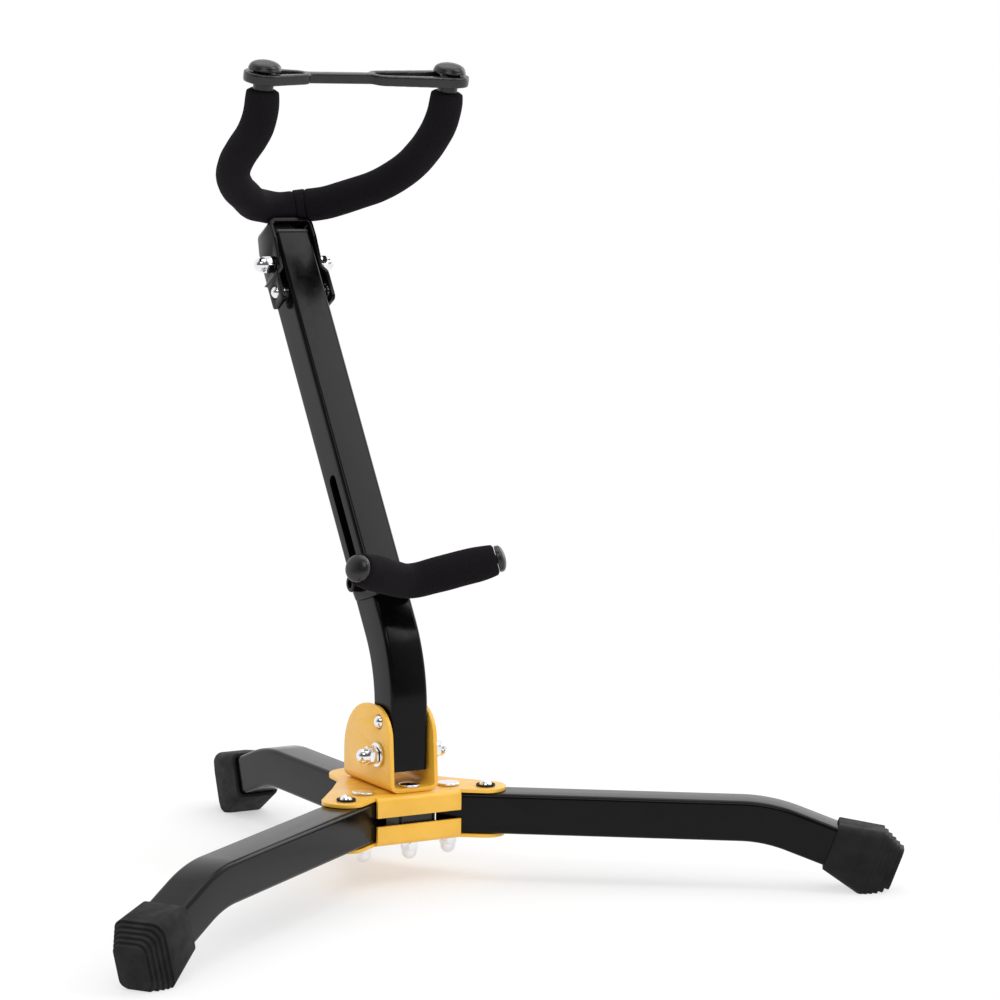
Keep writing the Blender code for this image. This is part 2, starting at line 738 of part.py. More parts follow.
def foot_mesh(shorter):
    """Lofted foot, before the floor cuts its flat sole."""
    mesh = bpy.data.meshes.new("foot")
    body = bmesh.new()
    rings = [[body.verts.new(point) for point in ring] for ring in foot_rings(shorter)]
    for first, second in zip(rings, rings[1:]):
        for i in range(len(first)):
            body.faces.new((first[i - 1], first[i], second[i], second[i - 1]))
    body.faces.new(rings[0])
    body.faces.new(rings[-1])
    bmesh.ops.recalc_face_normals(body, faces=body.faces)
    body.to_mesh(mesh)
    body.free()
    return mesh


def foot(name, parent, shorter, path):
    made = place(name, smooth(foot_mesh(shorter)), parent, RUBBER)
    fit = swept(path, section=square(TUBE + 2 * GAP, TUBE_CORNER))
    boolean(made, place(name + "_socket", fit, parent))
    reach = LEG_STRAIGHT + LEG_BEND_RADIUS + LEG_TAIL
    floor = box((2 * reach, reach, LEG_AXIS), (reach, 0, -LEG_AXIS / 2))
    boolean(made, place(name + "_floor", floor, parent))
    return made


def leg_spring_outline():
    """Bent strip inside a leg: one end under the button, the other on the tube's floor."""
    button_foot = LEG_TOP - TUBE_WALL - 2 * GAP - BUTTON_FLANGE_THICK
    high = button_foot - SPRING_SHEET / 2
    low = LEG_UNDERSIDE + TUBE_WALL + GAP + SPRING_SHEET / 2
    start = LOBE_REACH - 5 * MM
    far = LOBE_REACH + SPRING_LENGTH
    path = rounded([
        (start, high, 0.0),
        (LOBE_REACH + 6 * MM, high, 5 * MM),
        (far, low + 3 * MM, 1.6 * MM),
        (far - 6 * MM, low, 3 * MM),
        (start, low, 0.0),
    ], closed=False)
    return ribbon(path, SPRING_SHEET)


def front_leg(label, side):
    heading = LEG_SPREAD - math.pi / 2 if side > 0 else 1.5 * math.pi - LEG_SPREAD
    axis = axis_empty("leg_%s_axis" % label, (side * LEG_PIVOT_X, 0, 0), (0, 0, heading), STAND)
    path = leg_path(LEG_ROOT, LEG_STRAIGHT, LEG_TAIL)
    tube = square_tube("leg_tube_front_" + label, path, axis)
    drill(tube, axis, BUSH_RADIUS + GAP, (0, 0, LEG_AXIS), THROUGH, name="pivot")
    drill(tube, axis, BUTTON_HOLE, (LOBE_REACH, 0, LEG_TOP), TUBE / 2, name="lock")
    socket = leg_path(LEG_ROOT, LEG_STRAIGHT, LEG_TAIL + GAP)
    foot("foot_front_" + label, axis, 0.0, socket)
    stand = TOP_PLATE_HIGH + BUTTON_STAND
    button = lock_button_mesh(LEG_TOP - TUBE_WALL, stand)
    place("leg_lock_button_" + label, button, axis, CHROME, (LOBE_REACH, 0, 0))
    strip = slab(leg_spring_outline(), SPRING_WIDTH)
    place("leg_lock_spring_" + label, strip, axis, STEEL, rotation=(math.pi / 2, 0, 0))
    ring = slab(circle((0, 0), BUTTON_RING_RADIUS), BUTTON_RING_HEIGHT, (circle((0, 0), BUTTON_HOLE),))
    spot = lobe_centre(side)
    place("leg_button_ring_" + label, smooth(ring), STAND, RUBBER,
          (*spot, TOP_PLATE_HIGH + GAP + BUTTON_RING_HEIGHT / 2))


def rear_leg():
    axis = axis_empty("rear_leg_axis", (0, 0, 0), (0, 0, math.pi / 2), STAND)
    straight = LEG_STRAIGHT - REAR_LEG_SHORTER
    path = leg_path(REAR_LEG_ROOT, straight, LEG_TAIL)
    tube = square_tube("leg_tube_rear", path, axis)
    for label, y in (("centre", CENTRE_BOLT_Y), ("rear", REAR_BOLT_Y)):
        drill(tube, axis, BOLT_HOLE, (y, 0, LEG_AXIS), THROUGH, name=label)
    plug = slab(square(TUBE_INNER - 2 * GAP, PLUG_CORNER), REAR_PLUG_DEPTH)
    place("leg_plug_rear", plug, axis, PLASTIC, (REAR_PLUG_DEPTH / 2 - REAR_LEG_ROOT, 0, LEG_AXIS), ACROSS)
    foot("foot_rear", axis, REAR_LEG_SHORTER, leg_path(REAR_LEG_ROOT, straight, LEG_TAIL + GAP))


# Upright

def upright_path():
    points = [(0.0, UPRIGHT_AXIS_Y, UPRIGHT_PIVOT_Z - UPRIGHT_FOOT), (0.0, UPRIGHT_AXIS_Y, BEND_START_Z)]
    count = 7
    for i in range(1, count + 1):
        angle = LEAN * i / count
        points.append((0.0, UPRIGHT_AXIS_Y + UPRIGHT_BEND_RADIUS * (1 - math.cos(angle)),
                       BEND_START_Z + UPRIGHT_BEND_RADIUS * math.sin(angle)))
    points.append(tuple(UPRIGHT_TOP - ALONG * PLUG_FLANGE - ALONG * GAP))
    origin = Vector((0.0, UPRIGHT_PIVOT_Y, UPRIGHT_PIVOT_Z))
    return [tuple(Vector(point) - origin) for point in points]


def side_buttons(prefix, parent, location, stand):
    """Two domed buttons that point out through the tube's sides."""
    for label, side in (("left", -1), ("right", 1)):
        mesh = lock_button_mesh(TUBE_INNER / 2, stand)
        place("%s_%s" % (prefix, label), mesh, parent, CHROME, location, (0, side * math.pi / 2, 0))


def twin_spring(name, parent, location, direction):
    """U-shaped leaf between two side buttons. The strip runs along local Y."""
    reach = TUBE_INNER / 2 - 2 * GAP - BUTTON_FLANGE_THICK - SPRING_SHEET / 2
    path = rounded([
        (-reach, -4.5 * MM, 0.0),
        (-reach, 8 * MM, 6 * MM),
        (-3.2 * MM, SPRING_LENGTH, 3 * MM),
        (3.2 * MM, SPRING_LENGTH, 3 * MM),
        (reach, 8 * MM, 6 * MM),
        (reach, -4.5 * MM, 0.0),
    ], closed=False)
    outline = [(x, y * direction) for x, y in ribbon(path, SPRING_SHEET)]
    place(name, slab(outline, SPRING_WIDTH), parent, STEEL, location, (math.pi / 2, 0, 0))


def upright():
    axis = axis_empty("upright_axis", (0, UPRIGHT_PIVOT_Y, UPRIGHT_PIVOT_Z), parent=STAND)
    tube = square_tube("upright_tube", upright_path(), axis)
    drill(tube, axis, BUSH_RADIUS + GAP, (0, 0, 0), THROUGH, ACROSS, "pivot")
    drill(tube, axis, BUTTON_HOLE, (0, 0, LOCK_SPACING), THROUGH, ACROSS, "lock")
    top = UPRIGHT_TOP - Vector((0, UPRIGHT_PIVOT_Y, UPRIGHT_PIVOT_Z))
    end = axis_empty("upright_end", top, (-LEAN, 0, 0), axis)
    half = SLOT_WIDTH / 2
    slot = belt(-SLOT_TOP - SLOT_LENGTH + half, half, -SLOT_TOP - half, half)
    slot_tool = slab([(-across, up) for up, across in slot], THROUGH)
    boolean(tube, place("upright_slot", slot_tool, end, rotation=SIDE_VIEW))
    stud = (0, -YOKE_PIVOT_FORWARD, -YOKE_PIVOT_DROP - LOCK_SPACING)
    drill(tube, end, BUTTON_HOLE, stud, THROUGH, ACROSS, "yoke_lock")
    hinge = (0, -YOKE_PIVOT_FORWARD, -YOKE_PIVOT_DROP)
    drill(tube, end, BOLT_HOLE, hinge, THROUGH, ACROSS, "yoke_pivot")
    ear_outer = CLEVIS_INNER + CLEVIS_SHEET
    seat = ear_outer + 2 * GAP + WASHER_THICK
    pivot = (0, UPRIGHT_PIVOT_Y, UPRIGHT_PIVOT_Z)
    cross_pin("upright_pivot_bolt", STAND, seat + NUT_THREAD - GAP, pivot)
    bush("upright_pivot_bush", STAND, GAP - CLEVIS_INNER, CLEVIS_INNER - GAP, pivot, ACROSS)
    for label, side in (("left", -1), ("right", 1)):
        turn = (0, side * math.pi / 2, 0)
        acorn("upright_pivot_nut_" + label, STAND, (side * (seat + GAP), *pivot[1:]), turn)
        washer("upright_pivot_washer_" + label, STAND, ear_outer + GAP, pivot, turn)
    side_buttons("upright_lock_button", axis, (0, 0, LOCK_SPACING), ear_outer + SIDE_BUTTON_STAND)
    twin_spring("upright_lock_spring", axis, (0, 0, LOCK_SPACING), 1)
    return end


def top_plug(end):
    flange = slab(square(TUBE, TUBE_CORNER), PLUG_FLANGE)
    flange.transform(Matrix.Translation((0, 0, -PLUG_FLANGE / 2)))
    made = place("upright_top_plug", flange, end, PLASTIC)
    edge = made.modifiers.new("soft_edges", "BEVEL")
    edge.width = PLUG_EDGE
    edge.segments = 1
    edge.limit_method = "ANGLE"
    stem = slab(square(TUBE_INNER - 2 * GAP, PLUG_CORNER), PLUG_DEPTH)
    stem.transform(Matrix.Translation((0, 0, -PLUG_FLANGE - PLUG_DEPTH / 2 + MM)))
    boolean(made, place("plug_stem", stem, end), "UNION")


# Fork

def fork():
    """Sliding bracket, bent rod with its foam, end caps and the bolt in the slot."""
    frame = axis_empty("fork_axis", (0, 0, -FORK_BOLT_DROP), parent=UPRIGHT_END)
    inner = TUBE / 2 + GAP
    middle = inner + FORK_SHEET / 2
    web = FORK_WEB - FORK_SHEET / 2
    path = rounded([
        (-middle, -TUBE, 0.0),
        (-middle, web, FORK_BEND),
        (middle, web, FORK_BEND),
        (middle, -TUBE, 0.0),
    ], closed=False)
    channel = slab(ribbon(path, FORK_SHEET), THROUGH)
    made = place("fork_bracket", channel, frame, BLACK, rotation=(math.pi, 0, 0))
    sides = rounded([
        (9.7 * MM, 8.0 * MM, 4 * MM),
        (6.7 * MM, -8.5 * MM, 2.5 * MM),
        (-12.6 * MM, 1.9 * MM - FORK_ROD_BELOW, 0.0),
        (-FORK_WEB - GAP, -0.6 * MM - FORK_ROD_BELOW, 0.0),
        (-FORK_WEB - GAP, -8.0 * MM, 0.0),
        (-4.0 * MM, 9.0 * MM, 5 * MM),
    ])
    boolean(made, place("fork_side", slab(sides, THROUGH), frame, rotation=SIDE_VIEW), "INTERSECT")
    drill(made, frame, BOLT_HOLE, (0, 0, 0), THROUGH, ACROSS, "bolt")
    route = fork_route()
    rod_back = FORK_FORWARD + FORK_ROUND * (1 / math.sin(FORK_SPREAD) - 1) - ROD_RADIUS
    boss_length = rod_back - GAP - web
    boss = cylinder(FORK_BOSS_RADIUS, 0.0, boss_length)
    boss_place = {"location": (0, -web, FORK_BOSS_LIFT - FORK_ROD_BELOW), "rotation": (math.pi / 2, 0, 0)}
    boolean(made, place("fork_boss", boss, frame, **boss_place), "UNION")
    rod = place("fork_rod", smooth(swept(route, ROD_RADIUS, 4)), frame, BLACK)
    foam = place("fork_foam", smooth(swept(route, FOAM_RADIUS, 6), 50), frame, FOAM)
    bore = swept(extended(route), ROD_RADIUS + GAP, 4)
    boolean(foam, place("fork_foam_bore", bore, frame))
    hole = cylinder(FORK_BOSS_RADIUS + GAP, 0.0, boss_length + ROD_RADIUS)
    boolean(foam, place("fork_foam_hole", hole, frame, **boss_place))
    for label, index in (("left", 0), ("right", -1)):
        spot = Vector(route[index])
        heading = (spot - Vector(route[1 if index == 0 else -2])).normalized()
        turn = heading.to_track_quat("Z", "Y").to_euler()
        stem_cut = cylinder(STEM_RADIUS + GAP, -STEM_LENGTH - MM, MM)
        boolean(rod, place("fork_rod_end_" + label, stem_cut, frame, location=spot, rotation=turn))
        place("fork_cap_" + label, cap_mesh(), frame, PLASTIC, spot, turn)
    half = inner + FORK_SHEET + GAP
    shank = half + FORK_HEAD_HEIGHT - MM
    crown = half + FORK_HEAD_HEIGHT
    pin = turned(((0.0, crown), (FORK_HEAD_RADIUS - FORK_HEAD_EDGE, crown),
                  (FORK_HEAD_RADIUS, crown - FORK_HEAD_EDGE), (FORK_HEAD_RADIUS, half),
                  (BOLT_RADIUS, half), (BOLT_RADIUS, -shank), (0.0, -shank)))
    slide_bolt = place("fork_slide_bolt", pin, frame, BLACK, rotation=(0, -math.pi / 2, 0))
    key = slab(hexagon(FORK_KEY_RADIUS), FORK_HEAD_HEIGHT)
    key.transform(Matrix.Translation((0, 0, crown)))
    boolean(slide_bolt, place("fork_bolt_key", key, frame, rotation=(0, -math.pi / 2, 0)))
    nut = slab(hexagon(NUT_FLATS / math.sqrt(3)), FORK_NUT_HEIGHT, (circle((0, 0), BOLT_HOLE),))
    nut.transform(Matrix.Translation((0, 0, half + FORK_NUT_HEIGHT / 2)))
    place("fork_slide_nut", nut, frame, BLACK, rotation=(0, math.pi / 2, 0))
    sleeve = slab(circle((0, 0), SLOT_WIDTH / 2 - GAP), 2 * (inner - 2 * GAP), (circle((0, 0), BOLT_HOLE),))
    place("fork_slide_bush", smooth(sleeve), frame, PLASTIC, rotation=ACROSS)


def fork_route():
    """V of the fork's rod in the frame on the bolt, with a round vertex."""
    across = FORK_ARM * math.sin(FORK_SPREAD)
    ahead = FORK_ARM * math.cos(FORK_SPREAD)
    flat = rounded([(-across, ahead, 0.0), (0.0, 0.0, FORK_ROUND), (across, ahead, 0.0)], closed=False)
    tilt_y = math.cos(FORK_TILT)
    tilt_z = math.sin(FORK_TILT)
    return [(x, -FORK_FORWARD - y * tilt_y, -FORK_ROD_BELOW - y * tilt_z) for x, y in flat]


def cap_mesh():
    """Domed end cap along +Z with a stem that plugs the rod."""
    edge = FORK_CAP_EDGE + GAP
    dome = [(FORK_CAP_RADIUS * math.sin(math.radians(a)), edge + FORK_CAP_DOME * math.cos(math.radians(a)))
            for a in (0, 30, 60, 90)]
    return turned((*dome, (FORK_CAP_RADIUS, GAP), (STEM_RADIUS, GAP), (STEM_RADIUS, -STEM_LENGTH),
                   (0.0, -STEM_LENGTH)))


# Yoke

def yoke_route():
    """Whole rod in the frame of the upright's end, from the left post to the right."""
    half = [Vector((x * MM, -forward * MM, up * MM)) for x, forward, up in YOKE_ROUTE]
    return [Vector((-point.x, point.y, point.z)) for point in half[:0:-1]] + half


def cut_at(route, across):
    """First point of the route at a distance across, and its place in the list."""
    for i, (first, second) in enumerate(zip(route, route[1:])):
        if first.x <= across < second.x:
            return i, first.lerp(second, (across - first.x) / (second.x - first.x))
    raise ValueError("the route never passes %s" % across)


def yoke(end):
    hinge = Vector((0, -YOKE_PIVOT_FORWARD, -YOKE_PIVOT_DROP))
    axis = axis_empty("yoke_axis", hinge, parent=end)
    frame = axis_empty("yoke_frame", -hinge, parent=axis)
    bracket = yoke_bracket(frame)
    route = yoke_route()
    rod = place("yoke_rod", smooth(swept(route, ROD_RADIUS, 4)), frame, BLACK)
    low_index, low = cut_at(route, YOKE_COLLAR[0])
    high_index, high = cut_at(route, YOKE_COLLAR[1])
    low_step = (route[low_index + 1] - route[low_index]).normalized() * (GAP / 2)
    high_step = (route[high_index + 1] - route[high_index]).normalized() * (GAP / 2)
    sleeves = {
        "yoke_foam_left": [*route[:low_index + 1], low - low_step],
        "yoke_foam_collar": [low + low_step, *route[low_index + 1:high_index + 1], high - high_step],
        "yoke_foam_right": [high + high_step, *route[high_index + 1:]],
    }
    boss_foot = YOKE_BRIDGE + YOKE_SHEET
    boss_top = YOKE_ROUTE[0][2] * MM - ROD_RADIUS - GAP
    spot = (0, -YOKE_ROUTE[0][1] * MM, 0)
    boss = cylinder(YOKE_BOSS_RADIUS, boss_foot - MM, boss_top)
    boolean(bracket, place("yoke_boss", boss, frame, location=spot), "UNION")
    for name, path in sleeves.items():
        radius = FOAM_RADIUS + (0.25 * MM if name.endswith("collar") else 0.0)
        foam = place(name, smooth(swept(path, radius, 6), 50), frame, FOAM)
        boolean(foam, place(name + "_bore", swept(extended(route), ROD_RADIUS + GAP, 4), frame))
        if name.endswith("left"):
            hole = cylinder(YOKE_BOSS_RADIUS + GAP, 0.0, boss_top + MM)
            boolean(foam, place("yoke_foam_hole", hole, frame, location=spot))
    heading = Vector((0.0, -math.cos(POST_ANGLE), math.sin(POST_ANGLE)))
    for label, index in (("left", 0), ("right", -1)):
        spot = route[index]
        turn = (math.pi / 2 - POST_ANGLE, 0, 0)
        place("yoke_post_" + label, post_mesh(), frame, PLASTIC, spot, turn)
        stem_cut = cylinder(STEM_RADIUS + GAP, -STEM_LENGTH - MM, ROD_RADIUS)
        boolean(rod, place("yoke_rod_end_" + label, stem_cut, frame, location=spot, rotation=turn))
    ear_outer = EAR_INNER + YOKE_SHEET
    cross_pin("yoke_pivot_bolt", end, ear_outer + 2 * GAP + NUT_THREAD - GAP, hinge)
    for label, side in (("left", -1), ("right", 1)):
        acorn("yoke_pivot_nut_" + label, end, hinge + Vector((side * (ear_outer + 2 * GAP), 0, 0)),
              (0, side * math.pi / 2, 0))
    stud = hinge - Vector((0, 0, LOCK_SPACING))
    side_buttons("yoke_lock_stud", end, stud, ear_outer + YOKE_STUD_STAND)
    twin_spring("yoke_lock_spring", end, stud, -1)
    strap(frame, route[0], heading)


def yoke_bracket(frame):
    """Bent sheet over the upright's end, with two ears that step outwards into finger tabs."""
    middle = EAR_INNER + YOKE_SHEET / 2
    half = [
        (middle, YOKE_BRIDGE + YOKE_SHEET / 2, YOKE_SIDE_BEND),
        (middle, -YOKE_EAR_DROP, YOKE_SHEET),
        (middle + YOKE_TAB_STEP, -YOKE_TAB_START, YOKE_SHEET),
        (middle + YOKE_TAB_STEP, -YOKE_TAB_DROP - YOKE_SHEET, 0.0),
    ]
    path = rounded([(-x, z, r) for x, z, r in half[::-1]] + half, closed=False)
    strip = slab(ribbon(path, YOKE_SHEET), 2 * TUBE)
    made = place("yoke_bracket", strip, frame, BLACK, rotation=(math.pi / 2, 0, 0))
    sides = rounded([
        (6.0 * MM, YOKE_BRIDGE + 8 * MM, 0.0),
        (6.0 * MM, YOKE_BRIDGE, 0.0),
        (10.0 * MM, -6 * MM, 5 * MM),
        (10.5 * MM, -YOKE_EAR_DROP - 2 * MM, 4 * MM),
        (4.8 * MM, -YOKE_TAB_START - 2 * MM, 2 * MM),
        (4.8 * MM, -YOKE_TAB_DROP, YOKE_TAB_CORNER),
        (-10.5 * MM, -YOKE_TAB_DROP, YOKE_TAB_CORNER),
        (-10.5 * MM, -YOKE_TAB_START, 3 * MM),
        (-13.0 * MM, -6 * MM, 6 * MM),
        (-12.5 * MM, YOKE_BRIDGE + 8 * MM, 0.0),
    ])
    boolean(made, place("yoke_side", slab(sides, THROUGH), frame, rotation=SIDE_VIEW), "INTERSECT")
    hinge = (0, -YOKE_PIVOT_FORWARD, -YOKE_PIVOT_DROP)
    drill(made, frame, BOLT_HOLE, hinge, THROUGH, ACROSS, "pivot")
    lock = (0, -YOKE_PIVOT_FORWARD, -YOKE_PIVOT_DROP - LOCK_SPACING)
    drill(made, frame, BUTTON_HOLE, lock, THROUGH, ACROSS, "lock")
    return made


def post_mesh():
    """Mushroom post along +Z: stem, neck and domed cap."""
    seat = NECK_LENGTH + GAP
    rise = CAP_HEIGHT - CAP_EDGE
    dome = [(CAP_RADIUS * math.sin(math.radians(a)), seat + CAP_EDGE + rise * math.cos(math.radians(a)))
            for a in (0, 18, 36, 54, 72, 84)]
    return turned((*dome, (CAP_RADIUS, seat + 1.4 * MM), (CAP_RADIUS - 0.8 * MM, seat + 0.4 * MM),
                   (NECK_RADIUS, seat), (NECK_RADIUS, GAP), (STEM_RADIUS, GAP), (STEM_RADIUS, -STEM_LENGTH),
                   (0.0, -STEM_LENGTH)))


def strap(frame, post, heading):
    """Rubber strap: an eye round the left post and a long loop round the right one."""
    axis = axis_empty("strap_axis", post + heading * (GAP + STRAP_LIFT + STRAP_THICK / 2),
                      (math.pi / 2 - POST_ANGLE, 0, 0), frame)
    span = -2 * post.x
    eye = slab(belt(0.0, STRAP_END_RADIUS, STRAP_LOOP_LENGTH, STRAP_LOOP_OUTER), STRAP_THICK,
               (belt(0.0, STRAP_EYE, STRAP_LOOP_LENGTH, STRAP_LOOP_INNER),))
    made = place("safety_strap", eye, axis, PLASTIC)
    slot_start = span - STRAP_SLOT_START
    left = STRAP_LOOP_LENGTH + (STRAP_LOOP_OUTER + STRAP_LOOP_INNER) / 2
    right = slot_start - (STRAP_SLOT_OUTER + STRAP_SLOT_INNER) / 2
    bar = box((right - left, 2 * STRAP_BAR_HALF, STRAP_THICK), ((left + right) / 2, 0, 0))
    loop = slab(belt(slot_start, STRAP_SLOT_OUTER, span, STRAP_END_RADIUS), STRAP_THICK,
                (belt(slot_start, STRAP_SLOT_INNER, span, STRAP_EYE),))
    boolean(made, place("strap_bar", bar, axis), "UNION")
    boolean(made, place("strap_loop", loop, axis), "UNION")
    edge = made.modifiers.new("soft_edges", "BEVEL")
    edge.width = STRAP_EDGE
    edge.segments = 1
    edge.limit_method = "ANGLE"
    edge.angle_limit = math.radians(50)


hub_plate("hub_top_plate", TOP_PLATE_LOW, -1)
hub_plate("hub_bottom_plate", BOTTOM_PLATE_LOW, 1)
clevis()
base_bolts(STAND)
front_leg("left", -1)
front_leg("right", 1)
rear_leg()
UPRIGHT_END = upright()
top_plug(UPRIGHT_END)
fork()
yoke(UPRIGHT_END)
bpy.context.view_layer.update()
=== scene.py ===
"""Looks of the folding alto saxophone stand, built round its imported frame.

Lengths are metres. Each visible piece is modelled finely in its own local frame and then laid on
the frame's joints. Inner springs and bushes keep their own solids with better materials.
"""
import json
from math import acos, atan2, ceil, copysign, cos, pi, radians, sin, sqrt, tan

import bmesh
import bpy
from mathutils import Matrix, Vector, noise

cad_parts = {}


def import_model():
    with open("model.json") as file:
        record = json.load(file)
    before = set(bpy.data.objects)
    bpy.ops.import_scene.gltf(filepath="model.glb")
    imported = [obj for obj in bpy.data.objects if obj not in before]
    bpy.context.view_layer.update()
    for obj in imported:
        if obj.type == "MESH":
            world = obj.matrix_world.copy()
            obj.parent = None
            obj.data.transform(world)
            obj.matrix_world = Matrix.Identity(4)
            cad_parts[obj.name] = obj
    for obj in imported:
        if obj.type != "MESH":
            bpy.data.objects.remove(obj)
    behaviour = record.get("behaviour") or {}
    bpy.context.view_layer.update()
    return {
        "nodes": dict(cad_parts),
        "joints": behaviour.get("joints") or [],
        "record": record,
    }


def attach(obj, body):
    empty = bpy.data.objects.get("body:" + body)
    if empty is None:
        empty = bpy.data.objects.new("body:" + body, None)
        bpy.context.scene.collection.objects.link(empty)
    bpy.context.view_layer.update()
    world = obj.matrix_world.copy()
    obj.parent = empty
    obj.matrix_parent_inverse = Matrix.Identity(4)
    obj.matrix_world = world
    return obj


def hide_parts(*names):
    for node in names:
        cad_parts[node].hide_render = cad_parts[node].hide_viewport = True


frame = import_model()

MM = 0.001
GAP = 0.3 * MM

# Camera, from the photograph's 1000 by 1000 frame
CAMERA_AZIMUTH = radians(-30.33)
CAMERA_ELEVATION = radians(7.01)
CAMERA_ROLL = radians(0.68)
CAMERA_DISTANCE = 1.94588
CAMERA_LENS = 121.05
CAMERA_ASIDE = 0.05284
CAMERA_TARGET_HEIGHT = 0.22597

# Tube
TUBE = 24.0 * MM
TUBE_WALL = 1.5 * MM
TUBE_CORNER = 2.6 * MM
BORE_LEAD = 2.0 * MM

# Legs
LEG_UNDERSIDE = 28.6 * MM
LEG_SPREAD = radians(54.7)
LEG_ROOT = 6.0 * MM
LEG_STRAIGHT = 172.0 * MM
LEG_BEND_RADIUS = 90.0 * MM
LEG_BEND = radians(20.0)
LEG_TAIL = 46.0 * MM
LEG_BEND_STEPS = 20
REAR_LEG_ROOT = 13.2 * MM
REAR_LEG_SHORTER = 25.0 * MM
REAR_PLUG_DEPTH = 4.5 * MM

# Feet
FOOT_COLLAR = 22.3 * MM
FOOT_COLLAR_WALL = 2.2 * MM
FOOT_COLLAR_CORNER = 4.0 * MM
FOOT_HEEL = 4.0 * MM
FOOT_HALF_WIDTH = 15.3 * MM
FOOT_TOP = 19.6 * MM
FOOT_BOTTOM = 21.0 * MM
FOOT_CORNER = 7.0 * MM
FOOT_STEPS = 5
FOOT_STEP_LENGTH = 2.84 * MM
FOOT_STEP_INSET = 1.25 * MM
FOOT_TOE_RISE = 0.28 * MM
FOOT_CORNER_INSET = 0.5 * MM
FOOT_CORNER_FACETS = 8
FOOT_EDGE = 0.35 * MM

# Hub
SHEET = 2.0 * MM
SHEET_EDGE = 0.35 * MM
LIP_FRONT = 16.8 * MM
LIP_END_GAP = 0.8 * MM
LIP_HEIGHT = 11.7 * MM
LIP_BEND = 2.0 * MM
LOBE_REACH = 22.0 * MM
LOBE_RADIUS = 11.6 * MM
REAR_LOBE_Y = 52.0 * MM
REAR_LOBE_RADIUS = 19.5 * MM
HUB_WAIST = (23.5 * MM, 41.0 * MM)
HUB_SHOULDER = (38.5 * MM, 20.0 * MM)
HUB_WAIST_ROUND = 5.0 * MM
HUB_SHOULDER_ROUND = 12.0 * MM
CENTRE_BOLT_Y = -4.4 * MM
REAR_BOLT_Y = 34.0 * MM

# Clevis
CLEVIS_SHEET = 2.5 * MM
CLEVIS_FRONT = -11.0 * MM
CLEVIS_FRONT_TOP = -7.0 * MM
CLEVIS_BACK = 49.0 * MM
CLEVIS_HEIGHT = 49.0 * MM
CLEVIS_BEND = 4.0 * MM
CLEVIS_FRONT_ROUND = 19.0 * MM
CLEVIS_BACK_ROUND = 31.0 * MM
CLEVIS_GAP = 1.2 * MM
CLEVIS_EDGE = 0.4 * MM

# Upright
UPRIGHT_SETBACK = 2.0 * MM
UPRIGHT_FOOT = 9.5 * MM
UPRIGHT_RISE = 25.4 * MM
UPRIGHT_BEND_RADIUS = 88.0 * MM
UPRIGHT_BEND_STEPS = 24
LOCK_SPACING = 19.3 * MM
SLOT_WIDTH = 8.4 * MM
SLOT_LENGTH = 75.0 * MM
PLUG_FLANGE = 2.5 * MM
PLUG_STEM = 12.0 * MM

# Fasteners
BOLT_RADIUS = 3.0 * MM
BOLT_HOLE = 3.3 * MM
BOLT_HEAD_RADIUS = 6.5 * MM
BOLT_HEAD_HEIGHT = 1.8 * MM
BOLT_HEAD_ROUND = 0.6 * MM
NUT_FLATS = 10.0 * MM
NUT_HEX_HEIGHT = 5.5 * MM
NUT_HEIGHT = 11.6 * MM
NUT_THREAD = 7.0 * MM
NUT_DOME_INSET = 0.45 * MM
NUT_EDGE = 0.18 * MM
WASHER_RADIUS = 7.2 * MM
WASHER_THICK = 1.6 * MM
WASHER_EDGE = 0.25 * MM
BUSH_RADIUS = 5.0 * MM
BUTTON_RADIUS = 4.0 * MM
BUTTON_STAND = 3.8 * MM
SIDE_BUTTON_STAND = 2.7 * MM
YOKE_STUD_STAND = 5.7 * MM
BUTTON_HOLE = 4.4 * MM
BUTTON_FLANGE = 5.6 * MM
BUTTON_FLANGE_THICK = 1.0 * MM
BUTTON_RING_RADIUS = 5.6 * MM
BUTTON_RING_HEIGHT = 1.0 * MM
BUTTON_RING_EDGE = 0.2 * MM

# Fork
ROD_RADIUS = 5.0 * MM
FOAM_RADIUS = 10.2 * MM
FORK_BOLT_DROP = 233.0 * MM
FORK_ROD_BELOW = 16.2 * MM
FORK_FORWARD = 34.2 * MM
FORK_SPREAD = radians(59.0)
FORK_ARM = 52.5 * MM
FORK_ROUND = 16.0 * MM
FORK_TILT = radians(1.8)
FORK_SHEET = 2.0 * MM
FORK_WEB = 21.5 * MM
FORK_BEND = 2.2 * MM
FORK_CAP_RADIUS = 7.9 * MM
FORK_CAP_EDGE = 1.6 * MM
FORK_CAP_DOME = 3.6 * MM
FORK_BOSS_RADIUS = 3.2 * MM
FORK_BOSS_LIFT = 3.2 * MM
FORK_HEAD_RADIUS = 5.0 * MM
FORK_HEAD_HEIGHT = 4.4 * MM
FORK_HEAD_ROUND = 0.8 * MM
FORK_KEY_RADIUS = 2.9 * MM
FORK_KEY_DEPTH = 5.0 * MM
FORK_NUT_HEIGHT = 5.0 * MM
FORK_NUT_EDGE = 0.4 * MM
FORK_EDGE = 0.3 * MM

